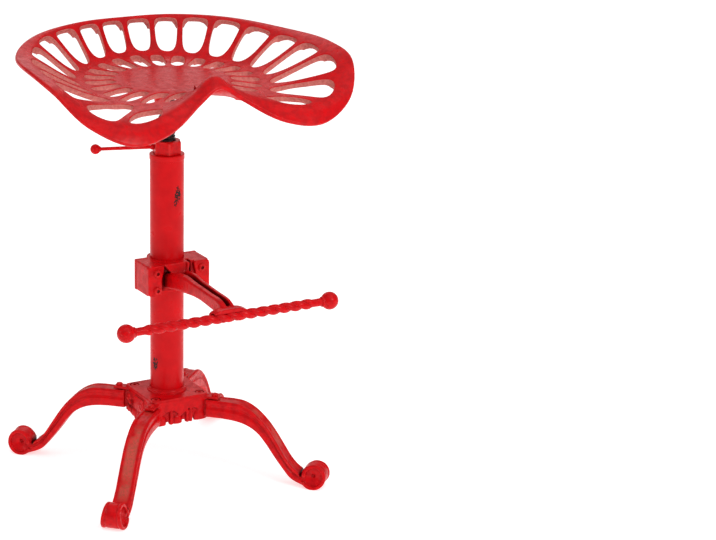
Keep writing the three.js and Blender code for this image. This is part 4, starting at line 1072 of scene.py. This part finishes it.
def makeSeatNet():
    s = seatLook
    net = np.zeros((int(360 / netStep), netRings + 1, 3))
    for i in range(net.shape[0]):
        degrees = i * netStep
        signed = (degrees + 540) % 360 - 180
        lean = signed + math.copysign(s["panTwist"], signed) * stationValue(s["twistShares"], degrees)
        stations = [planPoint(lean, s["panRadius"], 0)]
        for reach, kind in ((s["webReach"], "web"), (s["rimReach"], "shoulder"), (s["rimReach"], "rim")):
            stations.append(planPoint(degrees, reach * stationValue(s[kind + "ReachShares"], degrees),
                                      s["rimRise"] * stationValue(s[kind + "RiseShares"], degrees)))
        net[i] = smoothLine(stations, netRings + 1)
    around = np.roll(net, -1, 0) - np.roll(net, 1, 0)
    outward = np.gradient(net, axis=1)
    normals = np.cross(around, outward)
    normals *= np.sign(normals[..., 2:3].mean())
    return net, normals / np.linalg.norm(normals, axis=2, keepdims=True)


seatNet, seatNormals = makeSeatNet()


def onNet(values, degrees, ring):
    a = (np.asarray(degrees, float) % 360) / netStep
    b = np.clip(np.asarray(ring, float), 0, 3) / 3 * netRings
    i, j = np.floor(a).astype(int), np.minimum(np.floor(b).astype(int), netRings - 1)
    u, v = (a - i)[..., None], (b - j)[..., None]
    count = values.shape[0]
    first = values[i % count, j] * (1 - v) + values[i % count, j + 1] * v
    second = values[(i + 1) % count, j] * (1 - v) + values[(i + 1) % count, j + 1] * v
    return first * (1 - u) + second * u


def unit(v):
    return v / np.maximum(np.linalg.norm(v, axis=-1, keepdims=True), 1e-9)


def onFace(degrees, ring):
    return onNet(seatNet, degrees, ring), unit(onNet(seatNormals, degrees, ring))


# Rows of points that roll over an edge: along the face, round the corner and down the wall
def rollOver(faceEnd, corner, down, radius):
    toCorner = unit(corner - faceEnd)
    rows = []
    for k in range(1, rollRows + 1):
        angle = math.pi / 2 * k / rollRows
        rows.append(faceEnd + toCorner * radius * math.sin(angle) + down * radius * (1 - math.cos(angle)))
    return rows


def slotCell(fromDegrees, toDegrees, ring0, ring1, along, slotShape):
    s = seatLook
    across = s["across"]
    border = [(2 * i / across - 1, -1) for i in range(across)]
    border += [(1, 2 * j / along - 1) for j in range(along)]
    border += [(-a, -b) for a, b in border]
    ab = np.array(border, float)
    start, end, startWidth, endWidth = slotShape
    power = np.where(ab[:, 1] > 0, s["endRoundness"], s["roundness"])
    size = (np.abs(ab[:, 0]) ** power + np.abs(ab[:, 1]) ** power) ** (1 / power)
    t = (1 + ab[:, 1] / size) / 2
    width, place = startWidth + (endWidth - startWidth) * t, start + (end - start) * t
    hole = np.stack([ab[:, 0] / size * width, 2 * place - 1], 1)

    def surface(u):
        place = ab * (1 - u[:, None]) + hole * u[:, None]
        degrees = (fromDegrees + toDegrees + place[:, 0] * (toDegrees - fromDegrees)) / 2
        ring = (ring0 + ring1 + place[:, 1] * (ring1 - ring0)) / 2
        return onFace(degrees, ring)

    ones = np.ones(len(ab))
    outer, _ = surface(0 * ones)
    edge, edgeNormal = surface(ones)
    radius = np.minimum(s["edge"], 0.8 * np.linalg.norm(edge - outer, axis=1))
    faceShare = 1 - radius / np.maximum(np.linalg.norm(edge - outer, axis=1), 1e-6)
    depth = (s["thickness"] + s["lipDrop"]) / np.maximum(edgeNormal[:, 2], s["steepest"])
    depth *= 1 + s["endDrop"] * np.maximum(ab[:, 1], 0) ** 4
    wall = np.stack([0 * depth, 0 * depth, -depth], 1)
    tops, unders = [], []
    for step in range(faceRows):
        u = faceShare * step / (faceRows - 1)
        point, normal = surface(u)
        tops.append(point)
        unders.append(point - (1 - u)[:, None] * normal * s["thickness"] + u[:, None] * wall)
    down = unit(wall)
    r = radius[:, None]
    rows = tops + rollOver(tops[-1], edge, down, r)
    rows += reversed(rollOver(unders[-1], edge + wall, -down, r))
    rows += reversed(unders)
    return grid(rows)


def sheetPart(fromDegrees, toDegrees, ring0, ring1, across, along):
    degrees = np.linspace(fromDegrees, toDegrees, across + 1)
    parts = []
    for under in (False, True):
        rows = []
        for ring in np.linspace(ring0, ring1, along + 1):
            point, normal = onFace(degrees, np.full(across + 1, ring))
            rows.append(point - normal * seatLook["thickness"] if under else point)
        parts.append(grid(rows, closedAround=False))
    return joined(parts)


# The rim's outer edge: eased over the top, a narrow flat, eased again underneath
def rimPart(around):
    s = seatLook
    degrees = np.linspace(0, 360, around, endpoint=False)
    radius, thick = s["rimEdge"], s["thickness"]
    faces = [onFace(degrees, np.full(around, ring)) for ring in np.linspace(2, 3, 9)]
    edge, normal = faces[-1]
    inside, _ = onFace(degrees, np.full(around, s["rimInside"]))
    faceEnd = edge - unit(edge - inside) * radius
    tops = [point for point, _ in faces[:-2]] + [faceEnd]
    unders = [point - up * thick for point, up in faces[:-2]] + [faceEnd - normal * thick]
    rows = tops + rollOver(faceEnd, edge, -normal, radius)
    rows += reversed(rollOver(unders[-1], edge - normal * thick, normal, radius))
    rows += reversed(unders)
    return grid(rows)


def makeSeat():
    s = seatLook
    pitch = s["slotPitch"]
    around = int(360 / pitch) * s["across"]
    cells = []
    aside = (s["innerSlots"] - 1) // 2
    for k in range(-aside, aside + 1):
        cells.append(slotCell((k - 0.5) * pitch, (k + 0.5) * pitch, 0, 1, s["innerAlong"], s["inner"]))
    aside = s["outerSlots"] // 2
    special = {-aside: "lastOuter", aside - 1: "lastOuter", 1 - aside: "nextOuter", aside - 2: "nextOuter"}
    for k in range(-aside, aside):
        cells.append(slotCell(k * pitch, (k + 1) * pitch, 1, 2, s["outerAlong"], s[special.get(k, "outer")]))
    # the slots' walls: the strips of faces from the middle of the upper roll down to the underside; the paler
    # wall enamel on the upper roll is a painted highlight line
    strips = 2 * (faceRows + rollRows) - 1
    marks = []
    for _, faces in cells:
        strip = len(faces) // strips
        marks += [1 if faceRows < i // strip <= strips - faceRows else 0 for i in range(len(faces))]
    parts = cells + [rimPart(around)]
    end = s["innerSlots"] * pitch / 2
    across = int((360 - 2 * end) / pitch * s["across"])
    parts.append(sheetPart(end, 360 - end, 0, 1, across, s["innerAlong"]))
    end = aside * pitch
    across = int((360 - 2 * end) / pitch * s["across"])
    parts.append(sheetPart(end, 360 - end, 1, 2, across, s["outerAlong"]))
    degrees = np.linspace(0, 360, around, endpoint=False)
    edge, normal = onFace(degrees, np.zeros(around))
    centre = np.array([0, s["back"], s["panTop"]])
    rows = [centre + (edge - centre) * t for t in np.linspace(0, 1, 9)]
    under = [row - np.array([0, 0, s["thickness"]]) for row in rows[:-1]]
    under.append(rows[-1] - normal * s["thickness"])
    parts += [grid(rows), grid(under)]
    points, faces = joined(parts)
    marks += [0] * (len(faces) - len(marks))
    mesh = newMesh("seatCasting", (points, faces), marks)
    casting = addPiece("seatCasting", mesh, castEnamel, "seat_screw", ["seat"], sharp=50)
    casting.data.materials.append(slotWallEnamel)
    addPiece("seatBoss", rod(*s["boss"], ease=2.2, sides=72), castEnamel, "seat_screw", [])
    flange = rod(*s["flange"], ease=1.4, sides=72, bore=s["flangeBore"])
    addPiece("seatFlange", flange, fittingEnamel, "seat_screw", ["seat_flange"])
    bolt = moved(turnedBy(hexBolt(*s["bolt"]), 180, "X"), s["boltReach"], 0, s["boltHeight"])
    for k in range(4):
        addPiece(f"seatBolt.{k + 1}", turnedBy(bolt, 45 + 90 * k), fittingEnamel, "seat_screw",
                 [f"seat_bolt_{k + 1}"])


makeSeat()
print("stage: seat made")


# Each panel: its place, its width and its power; the sun is a wide soft light from above. These are in metres
lightLook = {
    "panels": {"key": ((0.63, -2.32, 1.5), 0.7, 20), "left": ((-1.9, 0.5, 0.9), 0.9, 5),
               "back": ((0.7, 2.1, 1.5), 1.5, 5)},
    "aimHeight": 0.35, "sunFrom": (0.05, -0.3, 1), "sunStrength": 0.6, "sunWidth": 60,
    "skyLow": 0.15, "horizon": 0.15, "zenith": 0.7,
    "floorReach": 30, "floorTone": 0.8, "floorGlow": 0.6, "floorRough": 0.9,
}


def makeStudio():
    look = lightLook
    for name, (place, size, power) in look["panels"].items():
        data = bpy.data.lights.new(name, "AREA")
        data.shape, data.size, data.energy = "SQUARE", size, power
        light = linked(bpy.data.objects.new(name, data))
        light.location = place
        aim = Vector((0, 0, look["aimHeight"])) - Vector(place)
        light.rotation_euler = aim.to_track_quat("-Z", "Y").to_euler()
        light.visible_camera = False
    sunData = bpy.data.lights.new("sun", "SUN")
    sunData.energy, sunData.angle = look["sunStrength"], math.radians(look["sunWidth"])
    sun = linked(bpy.data.objects.new("sun", sunData))
    sun.rotation_euler = (-Vector(look["sunFrom"])).to_track_quat("-Z", "Y").to_euler()
    bpy.context.scene.view_settings.view_transform = "Standard"
    world = bpy.data.worlds.new("studio")
    world.use_nodes = True
    world.node_tree.nodes["Background"].inputs["Color"].default_value = (1, 1, 1, 1)
    tree = world.node_tree
    view = tree.nodes.new("ShaderNodeTexCoord").outputs["Generated"]
    sky = addNode(tree, "ShaderNodeSeparateXYZ", {0: view})
    strength = remap(tree, sky.outputs["Z"], look["skyLow"], 1, look["horizon"], look["zenith"])
    tree.links.new(strength, tree.nodes["Background"].inputs["Strength"])
    bpy.context.scene.world = world
    reach = look["floorReach"] / mm
    corners = [(-reach, -reach, 0), (reach, -reach, 0), (reach, reach, 0), (-reach, reach, 0)]
    mesh = newMesh("floor", (corners, [(0, 1, 2, 3)]))
    floor = linked(bpy.data.objects.new("floor", mesh))
    material, _, surface = startMaterial("paleFloor")
    surface.inputs["Base Color"].default_value = (look["floorTone"],) * 3 + (1,)
    surface.inputs["Emission Color"].default_value = (1, 1, 1, 1)
    surface.inputs["Emission Strength"].default_value = look["floorGlow"]
    surface.inputs["Roughness"].default_value = look["floorRough"]
    mesh.materials.append(material)


makeStudio()
print("stage: studio made")
